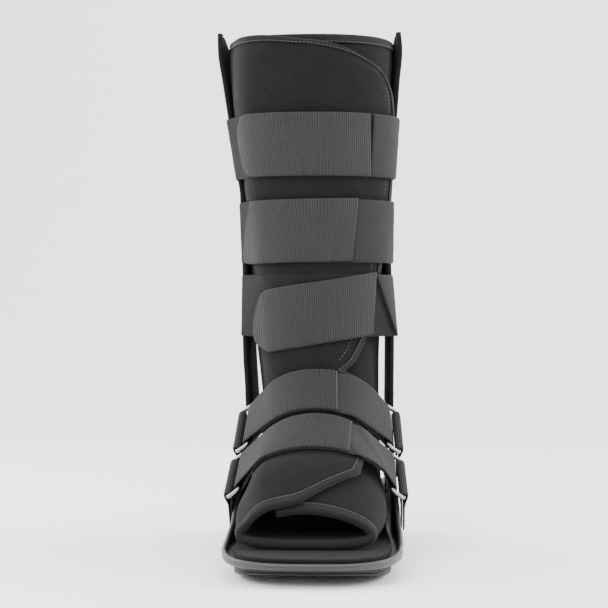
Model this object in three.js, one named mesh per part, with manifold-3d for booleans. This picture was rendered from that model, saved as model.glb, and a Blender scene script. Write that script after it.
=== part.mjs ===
// Medical walking boot, high top: a rigid sole tray with side wings, two upright bars in
// sleeves, a padded wrap liner and five straps. Millimetres, +Z up, the toe points to -Y.
import * as THREE from "three";
import Module from "manifold-3d";

const wasm = await Module();
wasm.setup();

// Overall sizes
const LINER_HEIGHT = 405;
const ANKLE_HEIGHT = 151;
const CALF_WIDTH = 134;
const CALF_DEPTH = 150;
const FOOT_WIDTH = 112;
const FOOT_REACH = 163;
const HEEL_REACH = 73;

// Sole tray, outsole and insole pad
const SOLE_MARGIN = 10;
const TOE_MARGIN = 52;
const HEEL_MARGIN = 13;
const OUTSOLE_HEIGHT = 11.6;
const TOE_SPRING = 8;
const TREAD_PITCH = 13;
const TREAD_WIDTH = 3;
const TREAD_DEPTH = 1.6;
const FLOOR_THICKNESS = 3.4;
const WALL_THICKNESS = 3.2;
const WING_HEIGHT = 106;
const RIM_HEIGHT = 17;
const PAD_THICKNESS = 4;

// Padded liner and its edge tape
const FOAM_THICKNESS = 6;
const FOAM_EDGE = 3.4;
const LAP_CLEARANCE = 1.8;
const TAPE_THICKNESS = 0.9;
const TAPE_CLEARANCE = 0.6;

// Upright bars and sleeves
const BAR_WIDTH = 25;
const BAR_THICKNESS = 2.5;
const SLEEVE_WIDTH = 46;
const SLEEVE_WALL = 1.1;
const SLEEVE_BOTTOM = 119;
const SLEEVE_RISE = 10;
const TOE_IN = 5;

// Straps, rings and rivets
const CALF_STRAP_WIDTH = 49;
const CALF_STRAP_THICKNESS = 1.8;
const INSTEP_STRAP_WIDTH = 38;
const INSTEP_STRAP_THICKNESS = 1.5;
const TAB_ROUNDING = 17;
const RING_WIRE = 4;
const RING_OPENING = 8;
const TAB_LENGTH = 36;
const TAB_THICKNESS = 1.4;
const RIVET_DIAMETER = 10;
const RIVET_RISE = 1.8;

// Clearances between neighbouring pieces
const GAP = 0.35;
const STRAP_CLEARANCE = 0.9;
const LAYER_GAP = 1;

// Heights and widths that follow
const FLOOR_BOTTOM = OUTSOLE_HEIGHT + GAP;
const FLOOR_TOP = FLOOR_BOTTOM + FLOOR_THICKNESS;
const PAD_BOTTOM = FLOOR_TOP + GAP;
const PAD_TOP = PAD_BOTTOM + PAD_THICKNESS;
const LINER_BASE = PAD_TOP + GAP;
const SOLE_HALF_WIDTH = FOOT_WIDTH / 2 + SOLE_MARGIN;
const SOLE_TOE = FOOT_REACH + TOE_MARGIN;
const SOLE_HEEL = HEEL_REACH + HEEL_MARGIN;
const SLEEVE_THICKNESS = BAR_THICKNESS + 2 * GAP + 2 * SLEEVE_WALL;
const SLEEVE_TOP = LINER_HEIGHT + SLEEVE_RISE;

// Liner sections from the top edge down the shaft, round the ankle and along the foot.
// leg rows: front, back in shares of CALF_DEPTH, height in shares of the shaft above the ankle.
// foot rows: front, back in shares of FOOT_REACH or HEEL_REACH, height in shares of ANKLE_HEIGHT.
// width and centre are shares of CALF_WIDTH or FOOT_WIDTH, wide is where the section is widest.
const LEG_SECTIONS = [
  {
    front: -0.44, frontUp: 1.0, back: 0.493, backUp: 1.012,
    width: 0.5, centre: -0.057, bend: 2.4, backBend: 2.3,
  },
  {
    front: -0.433, frontUp: 0.776, back: 0.507, backUp: 0.78,
    width: 0.483, centre: -0.057, bend: 2.5, backBend: 2.3,
  },
  {
    front: -0.413, frontUp: 0.547, back: 0.493, backUp: 0.547,
    width: 0.448, centre: -0.037, bend: 2.5, backBend: 2.3,
  },
  {
    front: -0.387, frontUp: 0.291, back: 0.447, backUp: 0.291,
    width: 0.405, centre: -0.024, bend: 2.4, backBend: 2.2,
  },
  {
    front: -0.367, frontUp: 0.083, back: 0.38, backUp: 0.067,
    width: 0.375, centre: -0.019, bend: 2.3, backBend: 2.2,
  },
];
const FOOT_SECTIONS = [
  {
    front: 0.35, frontUp: 1.0, back: 0.71, backUp: 0.827,
    width: 0.429, centre: -0.009, wide: 0.5, bend: 2.2, backBend: 2.2,
  },
  {
    front: 0.38, frontUp: 0.892, back: 0.74, backUp: 0.577,
    width: 0.42, centre: 0, wide: 0.5, bend: 2.2, backBend: 2.2,
  },
  {
    front: 0.442, frontUp: 0.793, back: 0.89, backUp: 0.323,
    width: 0.42, centre: 0, wide: 0.5, bend: 2.2, backBend: 2.2,
  },
  {
    front: 0.509, frontUp: 0.708, back: 1.0, backUp: 0.155,
    width: 0.429, centre: 0, wide: 0.5, bend: 2.2, backBend: 2.3,
  },
  {
    front: 0.571, frontUp: 0.638, back: 0.78, backUp: 0,
    width: 0.433, centre: 0, wide: 0.5, bend: 2.2, backBend: 2.4,
  },
  {
    front: 0.638, frontUp: 0.577, back: 0.15, backUp: 0,
    width: 0.442, centre: 0, wide: 0.46, bend: 2.2, backBend: 2.6,
  },
  {
    front: 0.724, frontUp: 0.5, back: -0.276, backUp: 0,
    width: 0.47, centre: 0, wide: 0.42, bend: 2.1, backBend: 2.8,
  },
  {
    front: 0.847, frontUp: 0.391, back: -0.644, backUp: 0,
    width: 0.496, centre: -0.018, wide: 0.4, bend: 2.0, backBend: 3.0,
  },
  {
    front: 1.0, frontUp: 0.232, back: -1.0, backUp: 0,
    width: 0.451, centre: -0.04, wide: 0.38, bend: 1.7, backBend: 3.2,
  },
];

// The sheet's outline on the liner. girth is in degrees from the back, over the left side:
// 90 is left, 180 the front, 270 right again. station counts the sections above from 0.
const UNDER_EDGE_GIRTH = -207;
const TOP_EDGE = [
  { girth: -207, station: 0 },
  { girth: 150, station: 0 },
  { girth: 175, station: 0.055 },
  { girth: 187, station: 0.1 },
  { girth: 199, station: 0.17 },
  { girth: 213, station: 0.29 },
  { girth: 226, station: 0.43 },
];
const TOE_EDGE = [
  { girth: -207, station: 13 },
  { girth: 140, station: 13 },
  { girth: 165, station: 12.96 },
  { girth: 180, station: 12.8 },
  { girth: 198, station: 12.35 },
  { girth: 215, station: 11.8 },
];
const OVER_EDGE = [
  { row: 0, station: 0.43, girth: 226 },
  { row: 0.3, station: 0.6, girth: 236 },
  { row: 0.7, station: 0.82, girth: 243 },
  { row: 1.0, station: 1.05, girth: 246 },
  { row: 1.5, station: 1.5, girth: 247 },
  { row: 2.0, station: 2.0, girth: 245 },
  { row: 3.0, station: 2.95, girth: 235 },
  { row: 4.0, station: 3.9, girth: 222 },
  { row: 5.0, station: 4.95, girth: 209 },
  { row: 5.55, station: 5.5, girth: 200 },
  { row: 5.85, station: 5.7, girth: 207 },
  { row: 6.2, station: 5.95, girth: 217 },
  { row: 6.7, station: 6.4, girth: 225 },
  { row: 7.4, station: 7.1, girth: 228 },
  { row: 8.0, station: 7.7, girth: 227 },
  { row: 9.0, station: 8.7, girth: 224 },
  { row: 10.0, station: 9.75, girth: 221 },
  { row: 11.0, station: 10.65, girth: 218 },
  { row: 12.0, station: 11.35, girth: 216 },
  { row: 13.0, station: 11.8, girth: 215 },
];
const LINER_ROWS = [
  0, 0.1, 0.45, 0.9, 1.4, 2, 2.3, 2.8, 3.3, 3.8, 4.4, 5,
  5.55, 5.85, 6.2, 6.7, 7.4, 8.1, 9, 10, 11, 12, 12.86, 13,
];
const NOTCH_ROW = LINER_ROWS.indexOf(5.55);
const LINER_COLUMNS = 36;
const COLUMN_INSET = 0.0125;

// Sole outline, right half from toe to heel. reach is a share of the toe or heel reach,
// width a share of the half width, rise the rim's height as a share of the wing height.
const SOLE_OUTLINE = [
  { reach: -1.0, width: 0.15, rise: 0.0, lean: 0 },
  { reach: -0.993, width: 0.38, rise: 0.0, lean: 0 },
  { reach: -0.968, width: 0.62, rise: 0.004, lean: 0 },
  { reach: -0.92, width: 0.81, rise: 0.011, lean: 0 },
  { reach: -0.845, width: 0.93, rise: 0.022, lean: 0 },
  { reach: -0.745, width: 0.989, rise: 0.034, lean: 0 },
  { reach: -0.642, width: 1.0, rise: 0.056, lean: 0 },
  { reach: -0.549, width: 1.0, rise: 0.09, lean: 0.1 },
  { reach: -0.474, width: 0.992, rise: 0.157, lean: 0.3 },
  { reach: -0.395, width: 0.982, rise: 0.303, lean: 0.5 },
  { reach: -0.335, width: 0.97, rise: 0.4, lean: 0.65 },
  { reach: -0.26, width: 0.955, rise: 0.56, lean: 0.8 },
  { reach: -0.181, width: 0.944, rise: 0.735, lean: 0.9 },
  { reach: -0.112, width: 0.936, rise: 0.885, lean: 1 },
  { reach: -0.04, width: 0.932, rise: 0.98, lean: 1 },
  { reach: 0.16, width: 0.929, rise: 1.0, lean: 1 },
  { reach: 0.37, width: 0.927, rise: 0.91, lean: 1 },
  { reach: 0.53, width: 0.924, rise: 0.66, lean: 0.8 },
  { reach: 0.67, width: 0.902, rise: 0.44, lean: 0.6 },
  { reach: 0.81, width: 0.818, rise: 0.35, lean: 0.4 },
  { reach: 0.915, width: 0.636, rise: 0.315, lean: 0.3 },
  { reach: 0.975, width: 0.36, rise: 0.303, lean: 0.3 },
  { reach: 1.0, width: 0.12, rise: 0.303, lean: 0.3 },
];
const WING_LEAN = 3.2;

// Sleeve's outer face: height as a share of SLEEVE_TOP, reach in shares of CALF_WIDTH.
const SLEEVE_PATH = [
  { up: 0.287, left: 0.453, right: 0.447 },
  { up: 0.41, left: 0.472, right: 0.45 },
  { up: 0.54, left: 0.468, right: 0.423 },
  { up: 0.68, left: 0.486, right: 0.424 },
  { up: 0.76, left: 0.527, right: 0.445 },
  { up: 0.833, left: 0.56, right: 0.467 },
  { up: 0.905, left: 0.594, right: 0.484 },
  { up: 0.965, left: 0.622, right: 0.5 },
  { up: 1.0, left: 0.624, right: 0.492 },
];

// Calf straps: heights as shares of the shaft above the ankle; the hook tab ends at tabEnd
// on the left and starts at seam on the right, both in shares of half the calf width, and
// sinks by drop of the strap's width over its length.
const CALF_STRAPS = [
  { name: "upper", up: 0.668, seam: 0.6, tabEnd: -1.0, tabUp: 0.0, drop: 0.0, rounding: 1.0 },
  { name: "middle", up: 0.404, seam: 0.42, tabEnd: -0.86, tabUp: 0.02, drop: 0.04, rounding: 0.45 },
  { name: "lower", up: 0.175, seam: 0.74, tabEnd: -0.73, tabUp: 0.04, drop: 0.33, rounding: 1.0 },
];

// Instep straps: the middle of the strap on the foot's top, in shares of FOOT_REACH and
// ANKLE_HEIGHT, the strap's slope, and where its two ends lie across half the foot width.
const INSTEP_STRAPS = [
  {
    name: "upper", reach: 0.447, up: 0.78, slope: 45,
    ringIn: 0.955, ringDown: 0.221, topEnd: 0.27, lowEnd: 0.5,
  },
  {
    name: "lower", reach: 0.663, up: 0.568, slope: 37,
    ringIn: 1.013, ringDown: 0.243, topEnd: 0.45, lowEnd: 0.6,
  },
];

const radians = THREE.MathUtils.degToRad;
const V = (x, y, z) => new THREE.Vector3(x, y, z);

// Slope-limited cubic through rows, so a curve never overshoots its table.
function follow(rows, key, column, at) {
  const last = rows.length - 1;
  const x = (i) => (key === null ? i : rows[i][key]);
  const t = Math.min(Math.max(at, x(0)), x(last));
  let i = 0;
  while (i < last - 1 && t > x(i + 1)) i += 1;
  const secant = (k) => (rows[k + 1][column] - rows[k][column]) / (x(k + 1) - x(k));
  const slope = (k) => {
    if (k === 0) return secant(0);
    if (k === last) return secant(last - 1);
    const a = secant(k - 1);
    const b = secant(k);
    return a * b <= 0 ? 0 : (2 * a * b) / (a + b);
  };
  const h = x(i + 1) - x(i);
  const u = (t - x(i)) / h;
  const a = rows[i][column];
  const b = rows[i + 1][column];
  const pull = (1 - u) * h * slope(i) - u * h * slope(i + 1);
  return a + (b - a) * u * u * (3 - 2 * u) + u * (1 - u) * pull;
}

// A closed solid skinned over rings of equal length. Open lofts end in strips that join
// point i of the ring to its opposite point; closed lofts join the last ring to the first.
function loft(rings, closed = false) {
  const size = rings[0].length;
  const position = rings.flat().flatMap((p) => [p.x, p.y, p.z]);
  const index = [];
  const quad = (a, b, c, d) => index.push(a, b, c, a, c, d);
  const spans = closed ? rings.length : rings.length - 1;
  for (let r = 0; r < spans; r += 1) {
    const next = (r + 1) % rings.length;
    for (let i = 0; i < size; i += 1) {
      const j = (i + 1) % size;
      quad(r * size + i, r * size + j, next * size + j, next * size + i);
    }
  }
  if (!closed) {
    const end = (rings.length - 1) * size;
    for (let i = 0; i < size / 2 - 1; i += 1) {
      quad(size - 1 - i, size - 2 - i, i + 1, i);
      quad(end + i, end + i + 1, end + size - 2 - i, end + size - 1 - i);
    }
  }
  return outward(position, index);
}

// Turns the faces round where the solid came out inside out.
function outward(position, index) {
  let volume = 0;
  const point = (k) => V(position[3 * k], position[3 * k + 1], position[3 * k + 2]);
  for (let i = 0; i < index.length; i += 3) {
    volume += point(index[i]).dot(point(index[i + 1]).cross(point(index[i + 2])));
  }
  if (volume < 0) index.reverse();
  const geometry = new THREE.BufferGeometry();
  geometry.setAttribute("position", new THREE.Float32BufferAttribute(position, 3));
  geometry.setIndex(index);
  return geometry;
}

function toManifold(geometry) {
  const vertProperties = new Float32Array(geometry.getAttribute("position").array);
  const triVerts = new Uint32Array(geometry.getIndex().array);
  return new wasm.Manifold(new wasm.Mesh({ numProp: 3, vertProperties, triVerts }));
}

function fromManifold(solid) {
  const mesh = solid.getMesh();
  const geometry = new THREE.BufferGeometry();
  geometry.setAttribute("position", new THREE.BufferAttribute(mesh.vertProperties, 3));
  geometry.setIndex(new THREE.BufferAttribute(mesh.triVerts, 1));
  return geometry;
}

// Liner surface
function legRow(row) {
  const shaft = LINER_HEIGHT - ANKLE_HEIGHT;
  return {
    frontY: row.front * CALF_DEPTH,
    frontZ: ANKLE_HEIGHT + row.frontUp * shaft,
    backY: row.back * CALF_DEPTH,
    backZ: ANKLE_HEIGHT + row.backUp * shaft,
    half: row.width * CALF_WIDTH,
    centre: row.centre * CALF_WIDTH,
    wide: 0.5,
    bend: row.bend,
    backBend: row.backBend,
  };
}

function footRow(row) {
  const rise = ANKLE_HEIGHT - LINER_BASE;
  return {
    frontY: -row.front * FOOT_REACH,
    frontZ: LINER_BASE + row.frontUp * rise,
    backY: row.back * (row.back > 0 ? HEEL_REACH : FOOT_REACH),
    backZ: LINER_BASE + row.backUp * rise,
    half: row.width * FOOT_WIDTH,
    centre: row.centre * FOOT_WIDTH,
    wide: row.wide,
    bend: row.bend,
    backBend: row.backBend,
  };
}

const SECTIONS = [...LEG_SECTIONS.map(legRow), ...FOOT_SECTIONS.map(footRow)];

const sleeveReach = (side, z) =>
  follow(SLEEVE_PATH, "up", side < 0 ? "left" : "right", z / SLEEVE_TOP) * CALF_WIDTH;

// Outer face of a sleeve at a height: its middle's x, then x anywhere along its width.
function sleeveFace(side, y, z) {
  const toe = Math.tan(radians(TOE_IN)) * (y + SLEEVE_WIDTH / 2);
  return side * (sleeveReach(side, z) - toe);
}

// Where the uprights press on the calf the liner gives way sideways.
function pressed(p) {
  if (p.z < ANKLE_HEIGHT) return p;
  const side = Math.sign(p.x) || 1;
  const y = THREE.MathUtils.clamp(p.y, -SLEEVE_WIDTH / 2, SLEEVE_WIDTH / 2);
  const limit = Math.abs(sleeveFace(side, y, p.z)) - SLEEVE_THICKNESS - 4 * GAP;
  const away = Math.max(0, Math.abs(p.y) - SLEEVE_WIDTH / 2) / (SLEEVE_WIDTH / 2);
  const excess = Math.max(0, Math.abs(p.x) - limit) * Math.max(0, 1 - away * away);
  return V(p.x - side * excess, p.y, p.z);
}

function skin(girth, station) {
  const at = (column) => follow(SECTIONS, null, column, station);
  const angle = radians(girth);
  const c = Math.cos(angle);
  const s = Math.sin(angle);
  const power = 2 / (c > 0 ? at("backBend") : at("bend"));
  const wide = at("wide");
  const along = c > 0 ? wide * (1 - c ** power) : wide + (1 - wide) * (-c) ** power;
  const across = -Math.sign(s) * Math.abs(s) ** power;
  return pressed(V(
    at("centre") + across * at("half"),
    THREE.MathUtils.lerp(at("backY"), at("frontY"), along),
    THREE.MathUtils.lerp(at("backZ"), at("frontZ"), along),
  ));
}

function skinNormal(girth, station) {
  const last = SECTIONS.length - 1;
  const a = skin(girth + 2, station).sub(skin(girth - 2, station));
  const low = Math.max(0, station - 0.15);
  const high = Math.min(last, station + 0.15);
  const b = skin(girth, high).sub(skin(girth, low));
  return b.cross(a).normalize();
}

// The over flap rides on the under flap, so the sheet spirals outwards past the left front.
const lapOffset = (girth) =>
  (FOAM_THICKNESS + LAP_CLEARANCE) * THREE.MathUtils.smoothstep(girth, 112, 147);

function linerPoint(girth, station, depth) {
  const normal = skinNormal(girth, station);
  return skin(girth, station).addScaledVector(normal, lapOffset(girth) - depth);
}

// Coons patch between the four edges of the sheet.
function sheetPlace(across, row) {
  const down = row / 13;
  const overTop = OVER_EDGE[0];
  const overToe = OVER_EDGE[OVER_EDGE.length - 1];
  const topGirth = THREE.MathUtils.lerp(UNDER_EDGE_GIRTH, overTop.girth, across);
  const toeGirth = THREE.MathUtils.lerp(UNDER_EDGE_GIRTH, overToe.girth, across);
  const top = { girth: topGirth, station: follow(TOP_EDGE, "girth", "station", topGirth) };
  const toe = { girth: toeGirth, station: follow(TOE_EDGE, "girth", "station", toeGirth) };
  const under = { girth: UNDER_EDGE_GIRTH, station: row };
  const over = { girth: overGirth(row), station: overStation(row) };
  const corners = [[UNDER_EDGE_GIRTH, 0], [overTop.girth, overTop.station],
    [UNDER_EDGE_GIRTH, 13], [overToe.girth, overToe.station]];
  const blend = (key, n) => {
    const ruled = (1 - down) * top[key] + down * toe[key]
      + (1 - across) * under[key] + across * over[key];
    const twice = (1 - down) * ((1 - across) * corners[0][n] + across * corners[1][n])
      + down * ((1 - across) * corners[2][n] + across * corners[3][n]);
    return ruled - twice;
  };
  return { girth: blend("girth", 0), station: blend("station", 1) };
}

const linear = (rows, key, column, at) => {
  let i = 0;
  while (i < rows.length - 2 && at > rows[i + 1][key]) i += 1;
  const u = (at - rows[i][key]) / (rows[i + 1][key] - rows[i][key]);
  return THREE.MathUtils.lerp(rows[i][column], rows[i + 1][column], u);
};
const overGirth = (row) => linear(OVER_EDGE, "row", "girth", row);
const overStation = (row) => linear(OVER_EDGE, "row", "station", row);

function columnShares() {
  const inner = Array.from({ length: LINER_COLUMNS - 1 }, (_, i) =>
    THREE.MathUtils.lerp(COLUMN_INSET, 1 - COLUMN_INSET, i / (LINER_COLUMNS - 2)));
  return [0, ...inner, 1];
}

const COLUMNS = columnShares();
const onEdge = (i, j) =>
  i <= 1 || j <= 1 || i >= COLUMNS.length - 2 || j >= LINER_ROWS.length - 2;

// The sheet's point i across, j down, on its outer face (side 1) or inner face (side -1),
// moved away from the foam by clear.
function sheetPoint(i, j, side, clear = 0) {
  const place = sheetPlace(COLUMNS[i], LINER_ROWS[j]);
  const half = (onEdge(i, j) ? FOAM_EDGE : FOAM_THICKNESS) / 2;
  const depth = FOAM_THICKNESS / 2 - side * (half + clear);
  return linerPoint(place.girth, place.station, depth);
}

function linerSheet() {
  const rings = LINER_ROWS.map((_, j) => {
    const outer = COLUMNS.map((__, i) => sheetPoint(i, j, 1));
    const inner = COLUMNS.map((__, i) => sheetPoint(i, j, -1)).reverse();
    return [...outer, ...inner];
  });
  return loft(rings);
}

// The grid points along the sheet's rim, each with the inner point the tape reaches to.
function rimNodes() {
  const right = COLUMNS.length - 1;
  const bottom = LINER_ROWS.length - 1;
  const rim = [{ edge: [0, 0], inset: [1, 1], corner: true }];
  for (let i = 2; i < right - 1; i += 1) rim.push({ edge: [i, 0], inset: [i, 1] });
  rim.push({ edge: [right, 0], inset: [right - 1, 1], corner: true });
  for (let j = 2; j < bottom - 1; j += 1) {
    const corner = j <= 3 || (j >= NOTCH_ROW && j < NOTCH_ROW + 3);
    rim.push({ edge: [right, j], inset: [right - 1, j], corner });
  }
  rim.push({ edge: [right, bottom], inset: [right - 1, bottom - 1], corner: true });
  for (let i = right - 2; i > 1; i -= 1) {
    rim.push({ edge: [i, bottom], inset: [i, bottom - 1], corner: i > right - 4 });
  }
  rim.push({ edge: [0, bottom], inset: [1, bottom - 1], corner: true });
  for (let j = bottom - 2; j > 1; j -= 1) rim.push({ edge: [0, j], inset: [1, j] });
  return rim;
}

// Tape folded over the foam's edge: a channel with its web beyond the edge.
function linerBinding() {
  const rings = rimNodes().map(({ edge, inset, corner }) => {
    const middle = sheetPoint(...edge, 1).add(sheetPoint(...edge, -1)).multiplyScalar(0.5);
    const inside = sheetPoint(...inset, 1).add(sheetPoint(...inset, -1)).multiplyScalar(0.5);
    const beyond = middle.sub(inside).normalize();
    const past = (side, clear) => sheetPoint(...edge, side, clear).addScaledVector(beyond, clear);
    const back = (side, clear) => sheetPoint(...inset, side, clear);
    const near = TAPE_CLEARANCE * (corner ? 1.7 : 1);
    const far = near + TAPE_THICKNESS;
    return [back(1, far), past(1, far), past(-1, far), back(-1, far),
      back(-1, near), past(-1, near), past(1, near), back(1, near)];
  });
  return loft(rings, true);
}

// Sole
const soleY = (reach) => reach * (reach < 0 ? SOLE_TOE : SOLE_HEEL);

// The sole's outline pulled in by inset, right half from the toe then left half back.
function soleRing(inset, height) {
  const points = SOLE_OUTLINE.map((row) =>
    ({ x: row.width * SOLE_HALF_WIDTH, y: soleY(row.reach), row }));
  const half = points.map((p, k) => {
    const before = points[Math.max(0, k - 1)];
    const after = points[Math.min(points.length - 1, k + 1)];
    const tangent = new THREE.Vector2(after.x - before.x, after.y - before.y).normalize();
    const pull = typeof inset === "function" ? inset(p.row) : inset;
    const x = Math.max(p.x - tangent.y * pull, 1);
    const y = p.y + tangent.x * pull;
    return V(x, y, height(y, p.row));
  });
  return [...half, ...half.map((p) => V(-p.x, p.y, p.z)).reverse()];
}

const rimTop = (row) => RIM_HEIGHT + row.rise * (WING_HEIGHT - RIM_HEIGHT);

function soleShell() {
  const lean = (row) => row.lean * WING_LEAN;
  return loft([
    soleRing(7, () => FLOOR_BOTTOM),
    soleRing(2, () => FLOOR_BOTTOM + 1.2),
    soleRing(0, (y, row) => Math.min(FLOOR_BOTTOM + 3.6, rimTop(row) - 1)),
    soleRing((row) => lean(row) + 0.3, (y, row) => rimTop(row)),
    soleRing((row) => lean(row) + WALL_THICKNESS - 0.5, (y, row) => rimTop(row) + 0.5),
    soleRing((row) => lean(row) + WALL_THICKNESS, (y, row) => rimTop(row) - 0.6),
    soleRing(WALL_THICKNESS + 0.8, () => FLOOR_TOP + 0.6),
    soleRing(WALL_THICKNESS + 4, () => FLOOR_TOP),
  ]);
}

function insolePad() {
  return loft([
    soleRing(9, () => PAD_BOTTOM),
    soleRing(9, () => PAD_TOP - 1.2),
    soleRing(10.5, () => PAD_TOP),
  ]);
}

// Rocker: flat under the foot, rising to the toe and a little at the heel.
function rocker(y) {
  const toeStart = -0.5 * SOLE_TOE;
  const heelStart = 0.6 * SOLE_HEEL;
  if (y < toeStart) return TOE_SPRING * ((toeStart - y) / (SOLE_TOE + toeStart)) ** 1.6;
  if (y > heelStart) return 0.3 * TOE_SPRING * ((y - heelStart) / (SOLE_HEEL - heelStart)) ** 1.6;
  return 0;
}

function outsole() {
  const middle = (y) => (rocker(y) + OUTSOLE_HEIGHT) / 2;
  let body = toManifold(loft([
    soleRing(11, (y) => rocker(y)),
    soleRing(9.2, (y) => rocker(y) + 0.8),
    soleRing(9, (y) => middle(y) - 0.5),
    soleRing(9.9, (y) => middle(y)),
    soleRing(9, (y) => middle(y) + 0.5),
    soleRing(9, () => OUTSOLE_HEIGHT),
  ]));
  const first = Math.ceil((-0.5 * SOLE_TOE) / TREAD_PITCH);
  const last = Math.floor((0.6 * SOLE_HEEL) / TREAD_PITCH);
  for (let k = first; k < last; k += 1) {
    const box = new THREE.BoxGeometry(4 * SOLE_HALF_WIDTH, TREAD_WIDTH, 2 * TREAD_DEPTH);
    box.translate(0, (k + 0.5) * TREAD_PITCH, 0);
    body = body.subtract(boxManifold(box));
  }
  return fromManifold(body);
}

function boxManifold(box) {
  const p = box.getAttribute("position");
  const min = V(Infinity, Infinity, Infinity);
  const max = V(-Infinity, -Infinity, -Infinity);
  for (let i = 0; i < p.count; i += 1) {
    const q = V(p.getX(i), p.getY(i), p.getZ(i));
    min.min(q);
    max.max(q);
  }
  const ring = (z) =>
    [V(min.x, min.y, z), V(max.x, min.y, z), V(max.x, max.y, z), V(min.x, max.y, z)];
  return toManifold(loft([ring(min.z), ring(max.z)]));
}

// Uprights
function uprightSection(side, z, width, thickness, faceInset, chamfer = 0) {
  const half = width / 2;
  const at = (y, inward) => V(sleeveFace(side, y, z) - side * (faceInset + inward), y, z);
  if (!chamfer) {
    return [at(-half, 0), at(half, 0), at(half, thickness), at(-half, thickness)];
  }
  const cut = half - chamfer;
  const soft = Math.min(chamfer, 0.35 * thickness);
  return [at(-half, soft), at(-cut, 0), at(cut, 0), at(half, soft),
    at(half, thickness - soft), at(cut, thickness), at(-cut, thickness), at(-half, thickness - soft)];
}

const SLEEVE_LEVELS = [0, 0.18, 0.38, 0.55, 0.68, 0.8, 0.9];

function uprightSleeve(side) {
  const height = (share) => THREE.MathUtils.lerp(SLEEVE_BOTTOM, SLEEVE_TOP, share);
  const outer = (share) => uprightSection(side, height(share), SLEEVE_WIDTH, SLEEVE_THICKNESS, 0, 2);
  const inner = (share) => uprightSection(side, height(share), SLEEVE_WIDTH - 4 * SLEEVE_WALL,
    SLEEVE_THICKNESS - 2 * SLEEVE_WALL, SLEEVE_WALL, 1);
  const slant = (ring) => ring.map((p) => V(p.x, p.y, p.z + 0.12 * (p.y - SLEEVE_WIDTH / 2)));
  const tip = outer(0.97).map((p) => {
    const share = (p.y + SLEEVE_WIDTH / 2) / SLEEVE_WIDTH;
    return V(p.x, p.y, THREE.MathUtils.lerp(SLEEVE_TOP, height(0.95), share));
  });
  const inside = SLEEVE_LEVELS.map(inner).reverse();
  return loft([
    ...inside.slice(0, -1),
    slant(inner(0)),
    slant(outer(0)),
    ...SLEEVE_LEVELS.slice(1).map(outer),
    tip,
  ]);
}

// Inner face of the wing, which the bar is riveted against.
const wingInner = () => 0.93 * SOLE_HALF_WIDTH - WING_LEAN - WALL_THICKNESS;

function uprightBar(side) {
  const face = wingInner() - GAP;
  const low = (z) => uprightSection(side, SLEEVE_BOTTOM, BAR_WIDTH, BAR_THICKNESS, 0)
    .map((p, k) => V(side * (k < 2 ? face : face - BAR_THICKNESS), p.y, z));
  const high = (z) => uprightSection(side, z, BAR_WIDTH, BAR_THICKNESS, SLEEVE_WALL + GAP);
  const top = THREE.MathUtils.lerp(SLEEVE_BOTTOM, SLEEVE_TOP, 0.88);
  const levels = SLEEVE_LEVELS.slice(1, -1)
    .map((share) => THREE.MathUtils.lerp(SLEEVE_BOTTOM, SLEEVE_TOP, share));
  return loft([
    low(0.42 * WING_HEIGHT),
    low(WING_HEIGHT - 2),
    high(SLEEVE_BOTTOM - 6),
    high(SLEEVE_BOTTOM + 8),
    ...levels.map(high),
    high(top),
  ]);
}

// Straps. A path is the taut line round everything a strap passes over, found from the
// farthest point in each direction, with the strap's own clearance added.
function support(points, angle) {
  const n = new THREE.Vector2(-Math.sin(angle), Math.cos(angle));
  let best = points[0];
  let reach = -Infinity;
  points.forEach((p) => {
    const d = p.x * n.x + p.y * n.y + (p.r ?? 0);
    if (d > reach) {
      reach = d;
      best = p;
    }
  });
  return { point: new THREE.Vector2(best.x, best.y), extra: best.r ?? 0, n, reach };
}

// Outline of the liner and the sleeves at one height, seen from above.
function calfOutline(z) {
  const points = [];
  for (let girth = -180; girth <= 250; girth += 6) {
    let low = 0;
    let high = 7;
    for (let k = 0; k < 18; k += 1) {
      const middle = (low + high) / 2;
      if (linerPoint(girth, middle, 0).z > z) low = middle;
      else high = middle;
    }
    const p = linerPoint(girth, low, 0);
    if (girth < 146 || girth <= overGirth(low) + 4) points.push({ x: p.x, y: p.y });
  }
  [-1, 1].forEach((side) => uprightSection(side, z, SLEEVE_WIDTH, SLEEVE_THICKNESS, 0, 2)
    .forEach((p) => points.push({ x: p.x, y: p.y })));
  return points;
}

const PATH_STEP = 10;

// Low and high edge of a band round the leg, by direction in degrees (0 back, 90 left).
function calfBand(low, high) {
  const edges = [low, (low + high) / 2, high].map(calfOutline);
  const cache = new Map();
  return (direction, z, offset) => {
    const key = ((direction % 360) + 360) % 360;
    if (!cache.has(key)) cache.set(key, edges.map((points) => support(points, radians(key))));
    const [a, middle, b] = cache.get(key);
    const lift = Math.max(0, middle.reach - (a.reach + b.reach) / 2);
    const u = (z - low) / (high - low);
    const p = a.point.clone().lerp(b.point, u).addScaledVector(a.n, offset + lift + STRAP_CLEARANCE);
    return V(p.x, p.y, z);
  };
}

// A place between two whole steps of direction lies on the straight facet between them.
function onFacet(band, direction, z, offset) {
  const low = Math.floor(direction / PATH_STEP) * PATH_STEP;
  const u = (direction - low) / PATH_STEP;
  const a = band(low, z, offset(low));
  const b = band(low + PATH_STEP, z, offset(low + PATH_STEP));
  return a.lerp(b, u);
}

// Direction at which the band's front crosses an x.
function directionAt(band, x, z) {
  let low = 100;
  let high = 260;
  for (let k = 0; k < 24; k += 1) {
    const middle = (low + high) / 2;
    if (onFacet(band, middle, z, () => 0).x < x) low = middle;
    else high = middle;
  }
  return (low + high) / 2;
}

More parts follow.
